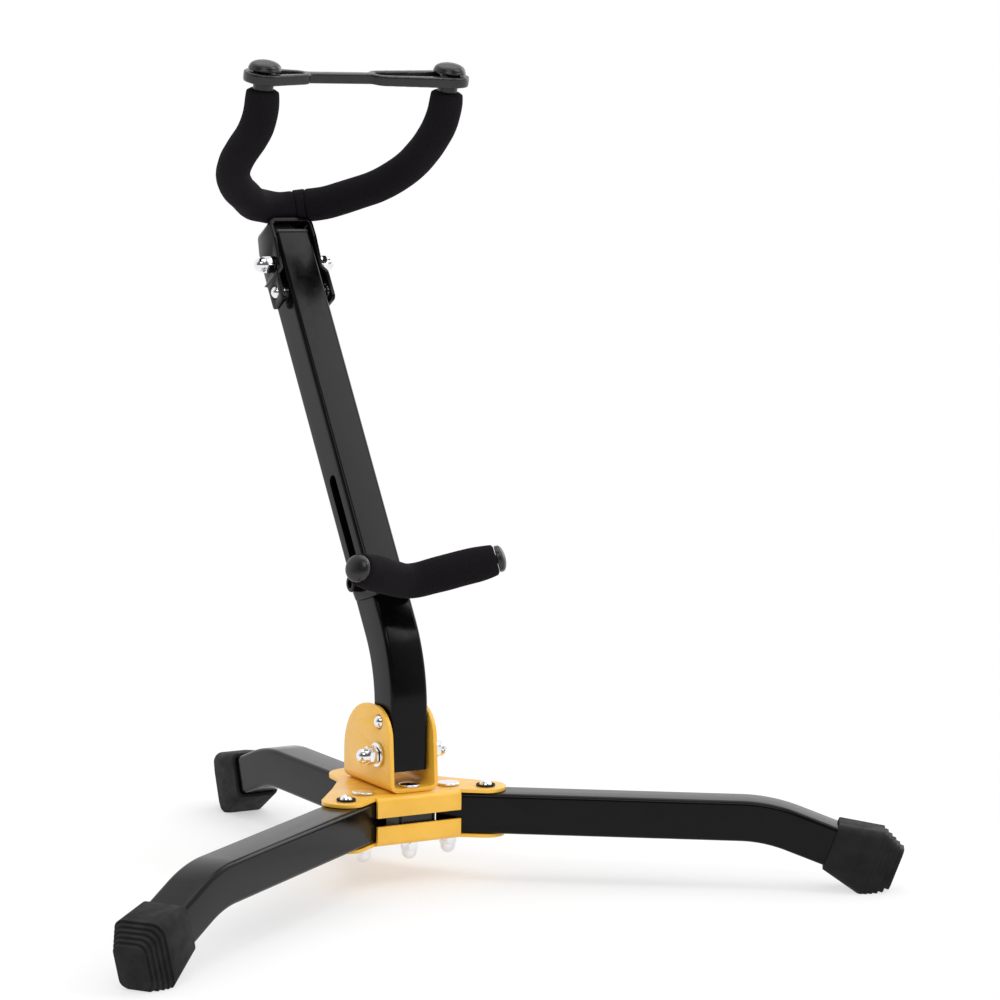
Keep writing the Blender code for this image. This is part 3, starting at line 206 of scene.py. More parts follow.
# Yoke, measured from the centre of the upright's top end
YOKE_SHEET = 2.3 * MM
YOKE_PIVOT_DROP = 20.0 * MM
YOKE_PIVOT_FORWARD = 3.0 * MM
YOKE_BRIDGE = 4.9 * MM
YOKE_GAP = 0.4 * MM
YOKE_SIDE_BEND = 3.5 * MM
YOKE_EAR_DROP = 26.0 * MM
YOKE_TAB_START = 29.5 * MM
YOKE_TAB_DROP = 48.0 * MM
YOKE_TAB_STEP = 3.2 * MM
YOKE_TAB_CORNER = 3.0 * MM
YOKE_BOSS_RADIUS = 4.0 * MM
YOKE_EDGE = 0.35 * MM
YOKE_COLLAR = (8.84 * MM, 16.12 * MM)
YOKE_ROUTE = (
    (0.0, 5.0, 18.2),
    (13.0, 9.0, 17.6),
    (25.0, 18.0, 14.6),
    (37.0, 31.5, 12.4),
    (47.0, 43.0, 11.1),
    (55.2, 56.3, 10.9),
    (59.6, 70.0, 11.0),
    (60.9, 84.5, 11.3),
    (60.6, 99.0, 11.8),
    (60.6, 109.5, 13.8),
    (60.9, 119.3, 18.6),
    (61.1, 127.4, 26.6),
)
POST_ANGLE = radians(45.0)
NECK_RADIUS = 6.0 * MM
NECK_LENGTH = 10.6 * MM
CAP_RADIUS = 9.8 * MM
CAP_HEIGHT = 6.5 * MM
CAP_RIM_HEIGHT = 2.4 * MM
CAP_RIM_ROUND = 0.9 * MM
NECK_FLARE = 2.2 * MM
STEM_RADIUS = 2.7 * MM
STEM_LENGTH = 8.0 * MM
STEM = ((STEM_RADIUS, GAP), (STEM_RADIUS, -STEM_LENGTH), (0.0, -STEM_LENGTH))

# Strap
STRAP_THICK = 6.2 * MM
STRAP_EYE = 6.4 * MM
STRAP_END_RADIUS = 12.2 * MM
STRAP_BAR_HALF = 3.2 * MM
STRAP_LOOP_LENGTH = 22.0 * MM
STRAP_LOOP_OUTER = 7.2 * MM
STRAP_LOOP_INNER = 3.2 * MM
STRAP_SLOT_START = 45.0 * MM
STRAP_SLOT_OUTER = 8.6 * MM
STRAP_SLOT_INNER = 4.6 * MM
STRAP_VOXEL = 0.6 * MM
STRAP_SMOOTHING = 22

# Foam sleeves. An end has a taper length, its share of the radius and the radius of its rim
FOAM_SWAY = 0.25 * MM
FOAM_SWAY_SCALE = 70.0
FORK_FOAM_SWAY = 0.5 * MM
FORK_FOAM_END = (16.0 * MM, 0.86, 1.6 * MM)
YOKE_FOAM_OPEN_END = (9.0 * MM, 0.93, 1.8 * MM)
YOKE_FOAM_JOINT_END = (3.0 * MM, 0.985, 0.5 * MM)
YOKE_COLLAR_END = (0.0, 1.0, 0.5 * MM)
YOKE_COLLAR_SWAY = 0.1 * MM

# Stage: each lamp's place, aim, size and power, and the room that reflections see
LAMPS = (
    ("key", (-0.9, -1.6, 1.9), (0, 0, 0.2), (1.4, 1.0), 11.0),
    ("front", (1.02, -0.96, 1.70), (0, 0.08, 0.33), (0.9, 1.1), 8.5),
    ("top", (0.2, 0.3, 2.4), (0, 0, 0.1), (2.0, 2.0), 16.0),
    ("rim", (1.6, 0.5, 0.9), (0, 0, 0.25), (0.8, 1.2), 5.0),
)
WHITE = (1.0, 1.0, 1.0, 1.0)
WORLD_LIGHT = 0.72
ROOM_DIM = 0.12
ROOM_FADE = 0.6
FLOOR_SIZE = 6.0

# Fineness of the round shapes, and the length of the tools that cut right through a piece
FACET_SAG = 0.012 * MM
THROUGH = 5 * TUBE

# Places read from the frame's joints
JOINTS = {joint["name"]: joint for joint in frame["joints"]}
PIVOT_RIGHT = Vector(JOINTS["leg_swivel_right"]["pos_m"])
HUB_Y = PIVOT_RIGHT.y
LEG_PIVOT_X = PIVOT_RIGHT.x
UPRIGHT_PIVOT = Vector(JOINTS["upright_fold"]["pos_m"])
UPRIGHT_PIVOT_Y = UPRIGHT_PIVOT.y - HUB_Y
FORK_BOLT = Vector(JOINTS["fork_fold"]["pos_m"])
ALONG = Vector(JOINTS["fork_slide"]["axis"]).normalized()
LEAN = atan2(ALONG.y, ALONG.z)
UPRIGHT_TOP = FORK_BOLT + ALONG * FORK_BOLT_DROP

LEG_TOP = LEG_UNDERSIDE + TUBE
LEG_AXIS = LEG_UNDERSIDE + TUBE / 2
TOP_PLATE_LOW = LEG_TOP + GAP
TOP_PLATE_HIGH = TOP_PLATE_LOW + SHEET
BOTTOM_PLATE_HIGH = LEG_UNDERSIDE - GAP
BOTTOM_PLATE_LOW = BOTTOM_PLATE_HIGH - SHEET
CLEVIS_LOW = TOP_PLATE_HIGH + GAP
CLEVIS_FLOOR = CLEVIS_LOW + CLEVIS_SHEET
LIP_HALF_WIDTH = (LEG_PIVOT_X + (LIP_FRONT - SHEET) * tan(LEG_SPREAD)
                  - TUBE / 2 / cos(LEG_SPREAD) - LIP_END_GAP)
CLEVIS_INNER = TUBE / 2 + CLEVIS_GAP
EAR_INNER = TUBE / 2 + YOKE_GAP
TUBE_INNER = TUBE - 2 * TUBE_WALL
SLOT_TOP = FORK_BOLT_DROP + SLOT_WIDTH / 2 + GAP - SLOT_LENGTH


def at(x, y, z):
    return Matrix.Translation((x, y, z))


# Local frames
STAND = at(0, HUB_Y, 0)
UPRIGHT = Matrix.Translation(UPRIGHT_PIVOT)
END = Matrix.Translation(UPRIGHT_TOP) @ Matrix.Rotation(-LEAN, 4, "X")
FORK = END @ at(0, 0, -FORK_BOLT_DROP)
ACROSS = Matrix.Rotation(pi / 2, 4, "Y")
ACROSS_BACK = Matrix.Rotation(-pi / 2, 4, "Y")
TO_FRONT = Matrix.Rotation(pi / 2, 4, "X")
SIDE_VIEW = Matrix.Rotation(pi / 2, 4, "Z") @ TO_FRONT
FLIPPED = Matrix.Rotation(pi, 4, "X")
YOKE_HINGE = at(0, -YOKE_PIVOT_FORWARD, -YOKE_PIVOT_DROP)
SIDES = (("left", -1, ACROSS_BACK), ("right", 1, ACROSS))


# Materials

def fill(tree, node, inputs):
    """Set a node's inputs, or link them where the value is another node's output."""
    for name, value in inputs.items():
        if isinstance(value, bpy.types.NodeSocket):
            tree.links.new(value, node.inputs[name])
        else:
            node.inputs[name].default_value = value


def add_node(tree, kind, inputs, **settings):
    node = tree.nodes.new("ShaderNode" + kind)
    for name, value in settings.items():
        setattr(node, name, value)
    fill(tree, node, inputs)
    return node


def noise_node(tree, scale, detail=4.0, rough=0.55, stretch=(1, 1, 1)):
    """Noise in the object's own coordinates, so it stays on the piece as it moves."""
    place = add_node(tree, "TexCoord", {})
    shape = add_node(tree, "Mapping", {"Vector": place.outputs["Object"], "Scale": stretch})
    grain = add_node(tree, "TexNoise", {
        "Vector": shape.outputs["Vector"], "Scale": scale, "Detail": detail, "Roughness": rough,
    })
    return grain.outputs["Fac"]


def remap(tree, source, low, high, source_low=0.3, source_high=0.7):
    return add_node(tree, "MapRange", {
        "Value": source, "From Min": source_low, "From Max": source_high, "To Min": low, "To Max": high,
    }).outputs["Result"]


def tint(tree, source, dark, light):
    node = add_node(tree, "ValToRGB", {"Fac": source})
    for i, (position, colour) in enumerate(((0.3, dark), (0.7, light))):
        node.color_ramp.elements[i].position = position
        node.color_ramp.elements[i].color = (*colour, 1.0)
    return node.outputs["Color"]


def new_material(name, colour, roughness, metallic=0.0, specular=0.5, tone=None, rough=None, bumps=(),
                 sockets=None):
    """Material whose tone, roughness and bumps each follow a noise, given by its own numbers first."""
    made = bpy.data.materials.new(name)
    made.use_nodes = True
    tree = made.node_tree
    shader = tree.nodes["Principled BSDF"]
    fill(tree, shader, {"Base Color": (*colour, 1.0), "Roughness": roughness, "Metallic": metallic,
                        "Specular IOR Level": specular})
    fill(tree, shader, sockets or {})
    if tone:
        fill(tree, shader, {"Base Color": tint(tree, noise_node(tree, *tone[0]), *tone[1:])})
    if rough:
        fill(tree, shader, {"Roughness": remap(tree, noise_node(tree, *rough[0]), *rough[1:])})
    under = {}
    for grain, distance, strength in bumps:
        under["Height"] = noise_node(tree, *grain)
        bump = add_node(tree, "Bump", {"Strength": strength, "Distance": distance, **under})
        under = {"Normal": bump.outputs["Normal"]}
    fill(tree, shader, under)
    return made


YELLOW = "yellow_powder_coat"
BLACK = "black_paint"
FOAM = "black_foam"
PLASTIC = "black_plastic"
RUBBER = "black_rubber"
CHROME = "bright_chrome"
STEEL = "spring_steel"

LOOKS = {
    # Orange-yellow powder coat: fine orange peel, a soft gloss and faint tone changes
    YELLOW: {
        "colour": (0.90, 0.50, 0.055),
        "roughness": 0.36,
        "tone": ((45.0,), (0.88, 0.470, 0.040), (0.94, 0.535, 0.062)),
        "rough": ((160.0,), 0.31, 0.42),
        "bumps": (((900.0, 2.0), 0.00006, 0.45), ((3500.0, 2.0), 0.00002, 0.4)),
        "sockets": {"Coat Weight": 0.22, "Coat Roughness": 0.22},
    },
    # Smooth black stove enamel with a slight ripple and dust-fine speckle
    BLACK: {
        "colour": (0.0025, 0.0024, 0.0029),
        "roughness": 0.16,
        "tone": ((60.0,), (0.0016, 0.0015, 0.0019), (0.0034, 0.0032, 0.0038)),
        "rough": ((220.0,), 0.12, 0.20),
        "bumps": (((350.0, 2.0), 0.00003, 0.18), ((2600.0, 2.0), 0.00001, 0.25)),
        "specular": 0.16,
    },
    # Closed-cell foam: matt, purple-black, with a fine pitted skin
    FOAM: {
        "colour": (0.006, 0.005, 0.0065),
        "roughness": 0.95,
        "tone": ((2600.0, 3.0, 0.7), (0.002, 0.0016, 0.0023), (0.013, 0.0105, 0.0135)),
        "bumps": (((420.0, 3.0), 0.00022, 0.6), ((2400.0, 3.0, 0.7), 0.00012, 0.8)),
        "specular": 0.12,
    },
    # Near-black moulded plastic with a satin gloss and a slight grain
    PLASTIC: {
        "colour": (0.011, 0.011, 0.012),
        "roughness": 0.25,
        "tone": ((90.0,), (0.008, 0.008, 0.009), (0.015, 0.015, 0.0165)),
        "rough": ((300.0,), 0.20, 0.31),
        "bumps": (((1100.0, 3.0), 0.00005, 0.4), ((260.0, 2.0), 0.00008, 0.25)),
        "specular": 0.45,
    },
    # Matt moulded rubber with a dusty bloom and fine grain
    RUBBER: {
        "colour": (0.009, 0.008, 0.0085),
        "roughness": 0.72,
        "tone": ((55.0, 5.0), (0.006, 0.0055, 0.006), (0.013, 0.012, 0.0125)),
        "rough": ((140.0,), 0.60, 0.82),
        "bumps": (((1500.0, 3.0), 0.00006, 0.5), ((180.0, 2.0), 0.00015, 0.25)),
        "specular": 0.25,
    },
    # Bright plating with faint polishing marks
    CHROME: {
        "colour": (0.86, 0.86, 0.88),
        "roughness": 0.08,
        "metallic": 1.0,
        "rough": ((400.0,), 0.05, 0.13),
        "bumps": (((900.0, 2.0), 0.00003, 0.2),),
    },
    # Rolled spring steel with drawn streaks
    STEEL: {
        "colour": (0.36, 0.37, 0.39),
        "roughness": 0.33,
        "metallic": 1.0,
        "tone": ((80.0,), (0.30, 0.31, 0.33), (0.42, 0.43, 0.45)),
        "rough": ((300.0, 4.0, 0.55, (1, 1, 12)), 0.26, 0.42),
        "bumps": (((1200.0, 4.0, 0.55, (1, 1, 10)), 0.00002, 0.3),),
    },
}
MATERIALS = {slot: new_material(slot, **look) for slot, look in LOOKS.items()}
SUFFIXES = {YELLOW: "_coated", BLACK: "_painted", PLASTIC: "_moulded", RUBBER: "_moulded", CHROME: "_chrome"}
NODE_BODY = {node: body for body, nodes in frame["record"]["behaviour"]["bodies"].items() for node in nodes}


# Shapes

def facet_angle(radius):
    return 2 * acos(1 - FACET_SAG / max(radius, 1.0 * MM))


def round_steps(radius):
    return max(24, 4 * int(ceil(pi / 2 / facet_angle(radius))))


def on_circle(centre, radius, turns):
    return [(centre[0] + radius * cos(turn), centre[1] + radius * sin(turn)) for turn in turns]


def arc(centre, radius, start, stop):
    count = max(3, int(ceil(abs(stop - start) / facet_angle(radius))))
    return on_circle(centre, radius, [start + (stop - start) * i / count for i in range(count + 1)])


def oval(across, up, wide, high, degrees):
    """Points of an oval about (across, up), at angles counted from its top."""
    turns = [radians(angle) for angle in degrees]
    return [(across + wide * sin(turn), up + high * cos(turn)) for turn in turns]


def rounded(corners, closed=True):
    """Outline through corners (x, y, radius), with each corner turned into an arc."""
    points = []
    count = len(corners)
    for i, (x, y, radius) in enumerate(corners):
        here = Vector((x, y))
        if radius <= 0 or (not closed and i in (0, count - 1)):
            points.append((x, y))
            continue
        before = Vector(corners[i - 1][:2]) - here
        after = Vector(corners[(i + 1) % count][:2]) - here
        before.normalize()
        after.normalize()
        half = before.angle(after) / 2
        reach = radius / tan(half)
        centre = here + (before + after).normalized() * (radius / sin(half))
        first = here + before * reach - centre
        last = here + after * reach - centre
        start = atan2(first.y, first.x)
        turn = atan2(first.x * last.y - first.y * last.x, first.dot(last))
        points.extend(arc(centre, radius, start, start + turn))
    return points


def mirrored(half):
    """Corners of a half outline and of its mirror image, for an outline across the Y axis."""
    return [(-x, y, radius) for x, y, radius in half[::-1]]


def belt(x1, r1, x2, r2):
    """Outline of a belt round two circles on the X axis, with x1 below x2."""
    lean = acos((r1 - r2) / (x2 - x1))
    right = arc((x2, 0.0), r2, -lean, lean)
    left = arc((x1, 0.0), r1, lean, 2 * pi - lean)
    return right + left


def circle(centre, radius, steps=None):
    steps = steps or round_steps(radius)
    return on_circle(centre, radius, [2 * pi * i / steps for i in range(steps)])


def square(size, corner):
    half = size / 2
    return rounded([(x * half, y * half, corner) for x, y in ((1, -1), (1, 1), (-1, 1), (-1, -1))])


def hexagon(radius):
    return circle((0.0, 0.0), radius, 6)


def ribbon(path, thick):
    """Outline of a strip of even thickness along an open path."""
    sides = ([], [])
    for i, point in enumerate(path):
        here = Vector(point)
        into = (here - Vector(path[i - 1])).normalized() if i else None
        out = (Vector(path[i + 1]) - here).normalized() if i + 1 < len(path) else None
        into = into or out
        out = out or into
        along = (into + out).normalized()
        normal = Vector((-along.y, along.x)) * (thick / 2 / max(0.2, along.dot(out)))
        sides[0].append(tuple(here + normal))
        sides[1].append(tuple(here - normal))
    return sides[0] + sides[1][::-1]


def placed(name, data, where=Matrix()):
    made = bpy.data.objects.new(name, data)
    made.matrix_world = where
    bpy.context.scene.collection.objects.link(made)
    return made


def evaluated(holder):
    """Mesh of an object with its modifiers, and the object removed."""
    bpy.context.view_layer.update()
    graph = bpy.context.evaluated_depsgraph_get()
    mesh = bpy.data.meshes.new_from_object(holder.evaluated_get(graph))
    mesh.materials.clear()
    bpy.data.objects.remove(holder, do_unlink=True)
    return mesh


def mesh_of(body, name):
    mesh = bpy.data.meshes.new(name)
    body.to_mesh(mesh)
    body.free()
    return mesh


def curve_mesh(data):
    """Mesh of a curve, with its caps welded on."""
    mesh = evaluated(placed("holder", data))
    bpy.data.curves.remove(data)
    body = bmesh.new()
    body.from_mesh(mesh)
    bmesh.ops.remove_doubles(body, verts=body.verts, dist=1e-6)
    bmesh.ops.recalc_face_normals(body, faces=body.faces)
    body.to_mesh(mesh)
    body.free()
    return mesh


def add_line(data, points, closed=True):
    """Straight-edged spline through points, which lie at height 0 where they have only x and y."""
    line = data.splines.new("POLY")
    line.points.add(len(points) - 1)
    for vertex, point in zip(line.points, points):
        vertex.co = (*point, 0.0, 1.0) if len(point) == 2 else (*point, 1.0)
    line.use_cyclic_u = closed
    return line


def slab(outline, thick, holes=(), edge=0.0):
    """Flat mesh in the XY plane, from an outline and holes, with its rims rounded by edge."""
    data = bpy.data.curves.new("outline", "CURVE")
    data.dimensions = "2D"
    data.fill_mode = "BOTH"
    data.extrude = thick / 2 - edge
    if edge:
        data.bevel_depth = edge
        data.bevel_resolution = 2
        data.offset = -edge
    for loop in (outline, *holes):
        add_line(data, loop)
    return curve_mesh(data)


def swept(path, radius=None, resolution=10, section=None, radii=None):
    """Round or shaped bar along a 3-D path, with an optional share of the radius at each point."""
    data = bpy.data.curves.new("route", "CURVE")
    data.dimensions = "3D"
    data.use_fill_caps = True
    guide = None
    if section is None:
        data.bevel_depth = radius
        data.bevel_resolution = resolution
    else:
        shape = bpy.data.curves.new("section", "CURVE")
        shape.dimensions = "2D"
        add_line(shape, section)
        guide = placed("holder", shape)
        data.bevel_mode = "OBJECT"
        data.bevel_object = guide
    line = add_line(data, path, closed=False)
    for vertex, share in zip(line.points, radii or [1.0] * len(path)):
        vertex.radius = share
    mesh = curve_mesh(data)
    if guide:
        bpy.data.objects.remove(guide, do_unlink=True)
    return mesh


def turned(profile):
    """Solid turned about Z. The profile (radius, height) runs from the top down."""
    body = bmesh.new()
    rim = [body.verts.new((radius, 0.0, height)) for radius, height in profile]
    for first, second in zip(rim, rim[1:]):
        body.edges.new((first, second))
    holder = placed("holder", mesh_of(body, "profile"))
    screw = holder.modifiers.new("turn", "SCREW")
    screw.steps = round_steps(max(radius for radius, height in profile))
    screw.render_steps = screw.steps
    screw.use_merge_vertices = True
    screw.merge_threshold = 0.000002
    return evaluated(holder)


def cylinder(radius, low, high):
    return turned(((0.0, high), (radius, high), (radius, low), (0.0, low)))


def box(size, centre):
    body = bmesh.new()
    bmesh.ops.create_cube(body, size=1.0, matrix=Matrix.LocRotScale(Vector(centre), None, Vector(size)))
    return mesh_of(body, "box")


def combined(mesh, tool, where=Matrix(), operation="DIFFERENCE"):
    """Mesh cut by, or joined to, a tool laid at a place in the mesh's own frame."""
    target = placed("holder", mesh)
    other = placed("holder", tool, where)
    step = target.modifiers.new("cut", "BOOLEAN")
    step.operation = operation
    step.object = other
    step.solver = "EXACT"
    made = evaluated(target)
    bpy.data.objects.remove(other, do_unlink=True)
    return made


def drilled(mesh, radius, where, length=THROUGH):
    return combined(mesh, cylinder(radius, -length / 2, length / 2), where)


def channel(half, sheet, length, turn, sides):
    """Bent sheet with a mirrored section, trimmed to its outline seen from the side."""
    made = slab(ribbon(rounded(mirrored(half) + half, closed=False), sheet), length)
    made.transform(turn)
    return combined(made, slab(rounded(sides), THROUGH), SIDE_VIEW, "INTERSECT")


def edged(mesh, width, degrees=40):
    """Mesh with its sharp edges rounded."""
    holder = placed("holder", mesh)
    step = holder.modifiers.new("edges", "BEVEL")
    step.width = width
    step.segments = 2
    step.limit_method = "ANGLE"
    step.angle_limit = radians(degrees)
    step.use_clamp_overlap = True
    step.miter_outer = "MITER_ARC"
    return evaluated(holder)


def softened(mesh, voxel, rounds):
    """Mesh remade in small even faces and smoothed, for a soft moulding."""
    holder = placed("holder", mesh)
    even = holder.modifiers.new("even_faces", "REMESH")
    even.mode = "VOXEL"
    even.voxel_size = voxel
    soft = holder.modifiers.new("soften", "SMOOTH")
    soft.factor = 0.5
    soft.iterations = rounds
    return evaluated(holder)


def piece(node, mesh, where, finish, degrees=32, name=None):
    """Object for a finished mesh, laid in the world, riding with the solid it stands for."""
    mesh.transform(where)
    mesh.materials.clear()
    mesh.materials.append(MATERIALS[finish])
    mesh.shade_smooth()
    mesh.set_sharp_from_angle(angle=radians(degrees))
    made = placed(name or node + SUFFIXES[finish], mesh)
    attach(made, NODE_BODY[node])
    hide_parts(node)
    return made


# Fasteners

def acorn_nut_mesh():
    """Acorn nut along +Z: chamfered hexagon, shoulder and dome."""
    corner = NUT_FLATS / sqrt(3)
    nut = slab(hexagon(corner), NUT_HEX_HEIGHT)
    nut.transform(at(0, 0, NUT_HEX_HEIGHT / 2))
    chamfer = turned((
        (0.0, NUT_HEX_HEIGHT + MM),
        (NUT_FLATS / 2 - 0.9 * MM, NUT_HEX_HEIGHT + MM),
        (NUT_FLATS / 2 - 0.1 * MM, NUT_HEX_HEIGHT),
        (corner + 0.3 * MM, NUT_HEX_HEIGHT - 0.9 * MM),
        (corner + 0.3 * MM, 0.3 * MM),
        (corner - 0.5 * MM, -0.4 * MM),
        (0.0, -0.4 * MM),
    ))
    nut = combined(nut, chamfer, operation="INTERSECT")
    dome = NUT_FLATS / 2 - NUT_DOME_INSET
    crown = oval(0.0, NUT_HEIGHT - dome, dome, dome, range(0, 91, 9))
    half = NUT_HEX_HEIGHT / 2
    nut = combined(nut, turned((*crown, (dome, half), (0.0, half))), operation="UNION")
    nut = edged(nut, NUT_EDGE, 25)
    return combined(nut, cylinder(BOLT_HOLE, -1 * MM, NUT_THREAD))


ACORN = acorn_nut_mesh()


def acorn(node, where):
    piece(node, ACORN.copy(), where, CHROME)


def bolt_head(node, top, bottom, where):
    """Low head along +Z with a soft rim and the faintest crown, on its shank."""
    edge = BOLT_HEAD_RADIUS
    crown = top + BOLT_HEAD_HEIGHT
    rim = oval(edge - BOLT_HEAD_ROUND, crown - 1.0 * MM, BOLT_HEAD_ROUND, BOLT_HEAD_ROUND, range(10, 91, 20))
    profile = ((0.0, crown), (edge * 0.3, crown - 0.03 * MM), (edge * 0.6, crown - 0.14 * MM),
               (edge * 0.82, crown - 0.32 * MM), *rim, (edge, top + 0.15 * MM), (edge - 0.15 * MM, top),
               (BOLT_RADIUS, top), (BOLT_RADIUS, bottom), (0.0, bottom))
    piece(node, turned(profile), where, CHROME)


def domed_button(node, wall_inner, stand, where):
    """Snap button along +Z with a hemispherical end."""
    dome = oval(0.0, stand - BUTTON_RADIUS, BUTTON_RADIUS, BUTTON_RADIUS, range(0, 91, 9))
    seat = wall_inner - GAP
    foot = seat - BUTTON_FLANGE_THICK
    profile = (*dome, (BUTTON_RADIUS, seat), (BUTTON_FLANGE, seat), (BUTTON_FLANGE, foot), (0.0, foot))
    piece(node, turned(profile), where, CHROME)


def flat_ring(radius, hole, thick, edge):
    return slab(circle((0, 0), radius), thick, (circle((0, 0), hole),), edge)


# Hub

def hub_outline():
    """Plan of a hub plate: two front lobes, scalloped waist and a round rear lobe."""
    out = Vector((sin(LEG_SPREAD), -cos(LEG_SPREAD)))
    side = Vector((out.y, -out.x))
    pivot = Vector((LEG_PIVOT_X, 0.0))
    tip = pivot + out * (LOBE_REACH + LOBE_RADIUS)
    front = tip + side * LOBE_RADIUS
    back = tip - side * LOBE_RADIUS
    root = pivot + side * LOBE_RADIUS
    root += out * ((LIP_HALF_WIDTH - root.x) / out.x)
    rear = REAR_LOBE_Y + REAR_LOBE_RADIUS
    half = [
        (LIP_HALF_WIDTH, -LIP_FRONT + LIP_BEND + SHEET, 0.0),
        (root.x, root.y, 0.0),
        (front.x, front.y, LOBE_RADIUS * 0.98),
        (back.x, back.y, LOBE_RADIUS * 0.98),
        (*HUB_SHOULDER, HUB_SHOULDER_ROUND),
        (*HUB_WAIST, HUB_WAIST_ROUND),
        (REAR_LOBE_RADIUS + 2 * MM, REAR_LOBE_Y - 4 * MM, HUB_WAIST_ROUND),
        (REAR_LOBE_RADIUS, rear, REAR_LOBE_RADIUS * 0.95),
    ]
    return rounded(half + mirrored(half))


def lobe_centre(side):
    return (side * (LEG_PIVOT_X + LOBE_REACH * sin(LEG_SPREAD)), -LOBE_REACH * cos(LEG_SPREAD))


def hub_plate(node, low, lip_direction):
    """Pressed plate with its folded front lip, rims softened by the coating."""
    holes = [circle((0.0, y), BOLT_HOLE) for y in (CENTRE_BOLT_Y, REAR_BOLT_Y)]
    for side in (-1, 1):
        holes.append(circle((side * LEG_PIVOT_X, 0.0), BOLT_HOLE))
        holes.append(circle(lobe_centre(side), BUTTON_HOLE))
    plate = slab(hub_outline(), SHEET, holes)
    inner = LIP_FRONT - SHEET / 2
    back = LIP_FRONT - LIP_BEND - 2 * SHEET
    path = rounded([
        (-back, 0.0, 0.0),
        (-inner, 0.0, LIP_BEND),
        (-inner, lip_direction * (LIP_HEIGHT - SHEET / 2), 0.0),
    ], closed=False)
    lip = slab(ribbon(path, SHEET), 2 * LIP_HALF_WIDTH)
    plate = edged(combined(plate, lip, SIDE_VIEW, "UNION"), SHEET_EDGE, 45)
    piece(node, plate, STAND @ at(0, 0, low + SHEET / 2), YELLOW)


def clevis():
    middle = CLEVIS_INNER + CLEVIS_SHEET / 2
    floor = CLEVIS_LOW + CLEVIS_SHEET / 2
    top = CLEVIS_LOW + CLEVIS_HEIGHT
    half = [(middle, floor, CLEVIS_BEND), (middle, top + CLEVIS_SHEET, 0.0)]
    turn = at(0, (CLEVIS_BACK + CLEVIS_FRONT) / 2, 0) @ TO_FRONT
    made = channel(half, CLEVIS_SHEET, CLEVIS_BACK - CLEVIS_FRONT, turn, [
        (CLEVIS_FRONT + GAP, CLEVIS_LOW - MM, 0.0),
        (CLEVIS_BACK - GAP, CLEVIS_LOW - MM, 0.0),
        (CLEVIS_BACK - GAP, top, CLEVIS_BACK_ROUND),
        (CLEVIS_FRONT_TOP, top, CLEVIS_FRONT_ROUND),
    ])
    for y in (CENTRE_BOLT_Y, REAR_BOLT_Y):
        made = drilled(made, BOLT_HOLE, at(0, y, floor), 4 * CLEVIS_SHEET)
    pivot = UPRIGHT_PIVOT.z
    made = drilled(made, BOLT_HOLE, at(0, UPRIGHT_PIVOT_Y, pivot) @ ACROSS)
    made = drilled(made, BUTTON_HOLE, at(0, UPRIGHT_PIVOT_Y, pivot + LOCK_SPACING) @ ACROSS)
    piece("clevis", edged(made, CLEVIS_EDGE, 45), STAND, YELLOW)


def hub_fasteners():
    tip = BOTTOM_PLATE_LOW - NUT_THREAD + GAP
    under = BOTTOM_PLATE_LOW - GAP
    for label, y in (("hub_centre", CENTRE_BOLT_Y), ("hub_rear", REAR_BOLT_Y)):
        bolt_head(label + "_bolt", CLEVIS_FLOOR + GAP, tip, STAND @ at(0, y, 0))
        acorn(label + "_nut", STAND @ at(0, y, under) @ FLIPPED)
    for label, side, aim in SIDES:
        x = side * LEG_PIVOT_X
        bolt_head("leg_pivot_bolt_" + label, TOP_PLATE_HIGH + GAP, tip, STAND @ at(x, 0, 0))
        acorn("leg_pivot_nut_" + label, STAND @ at(x, 0, under) @ FLIPPED)
        half = CLEVIS_INNER + CLEVIS_SHEET + 2 * GAP + WASHER_THICK
        acorn("upright_pivot_nut_" + label, UPRIGHT @ at(side * (half + GAP), 0, 0) @ aim)
        ring = flat_ring(WASHER_RADIUS, BOLT_HOLE, WASHER_THICK, WASHER_EDGE)
        reach = side * (CLEVIS_INNER + CLEVIS_SHEET + GAP + WASHER_THICK / 2)
        piece("upright_pivot_washer_" + label, ring, UPRIGHT @ at(reach, 0, 0) @ ACROSS, CHROME)
        reach = side * (EAR_INNER + YOKE_SHEET + 2 * GAP)
        acorn("yoke_pivot_nut_" + label, END @ at(reach, -YOKE_PIVOT_FORWARD, -YOKE_PIVOT_DROP) @ aim)


# Legs

def leg_path(root, straight, tail):
    points = [(-root, 0.0, LEG_AXIS), (straight, 0.0, LEG_AXIS)]
    for i in range(1, LEG_BEND_STEPS + 1):
        angle = LEG_BEND * i / LEG_BEND_STEPS
        points.append((straight + LEG_BEND_RADIUS * sin(angle), 0.0,
                       LEG_AXIS - LEG_BEND_RADIUS * (1 - cos(angle))))
    end = Vector(points[-1])
    points.append(tuple(end + Vector((cos(LEG_BEND), 0.0, -sin(LEG_BEND))) * tail))
    return points


def extended(path, lead):
    first = Vector(path[0])
    last = Vector(path[-1])
    start = first + (first - Vector(path[1])).normalized() * lead
    stop = last + (last - Vector(path[-2])).normalized() * lead
    return [tuple(start), *path, tuple(stop)]


def hollow_tube(path):
    """Square tube with its drawn corners, open at both ends."""
    outer = swept(path, section=square(TUBE, TUBE_CORNER))
    inner = swept(extended(path, BORE_LEAD), section=square(TUBE_INNER, TUBE_CORNER - TUBE_WALL))
    return combined(outer, inner)


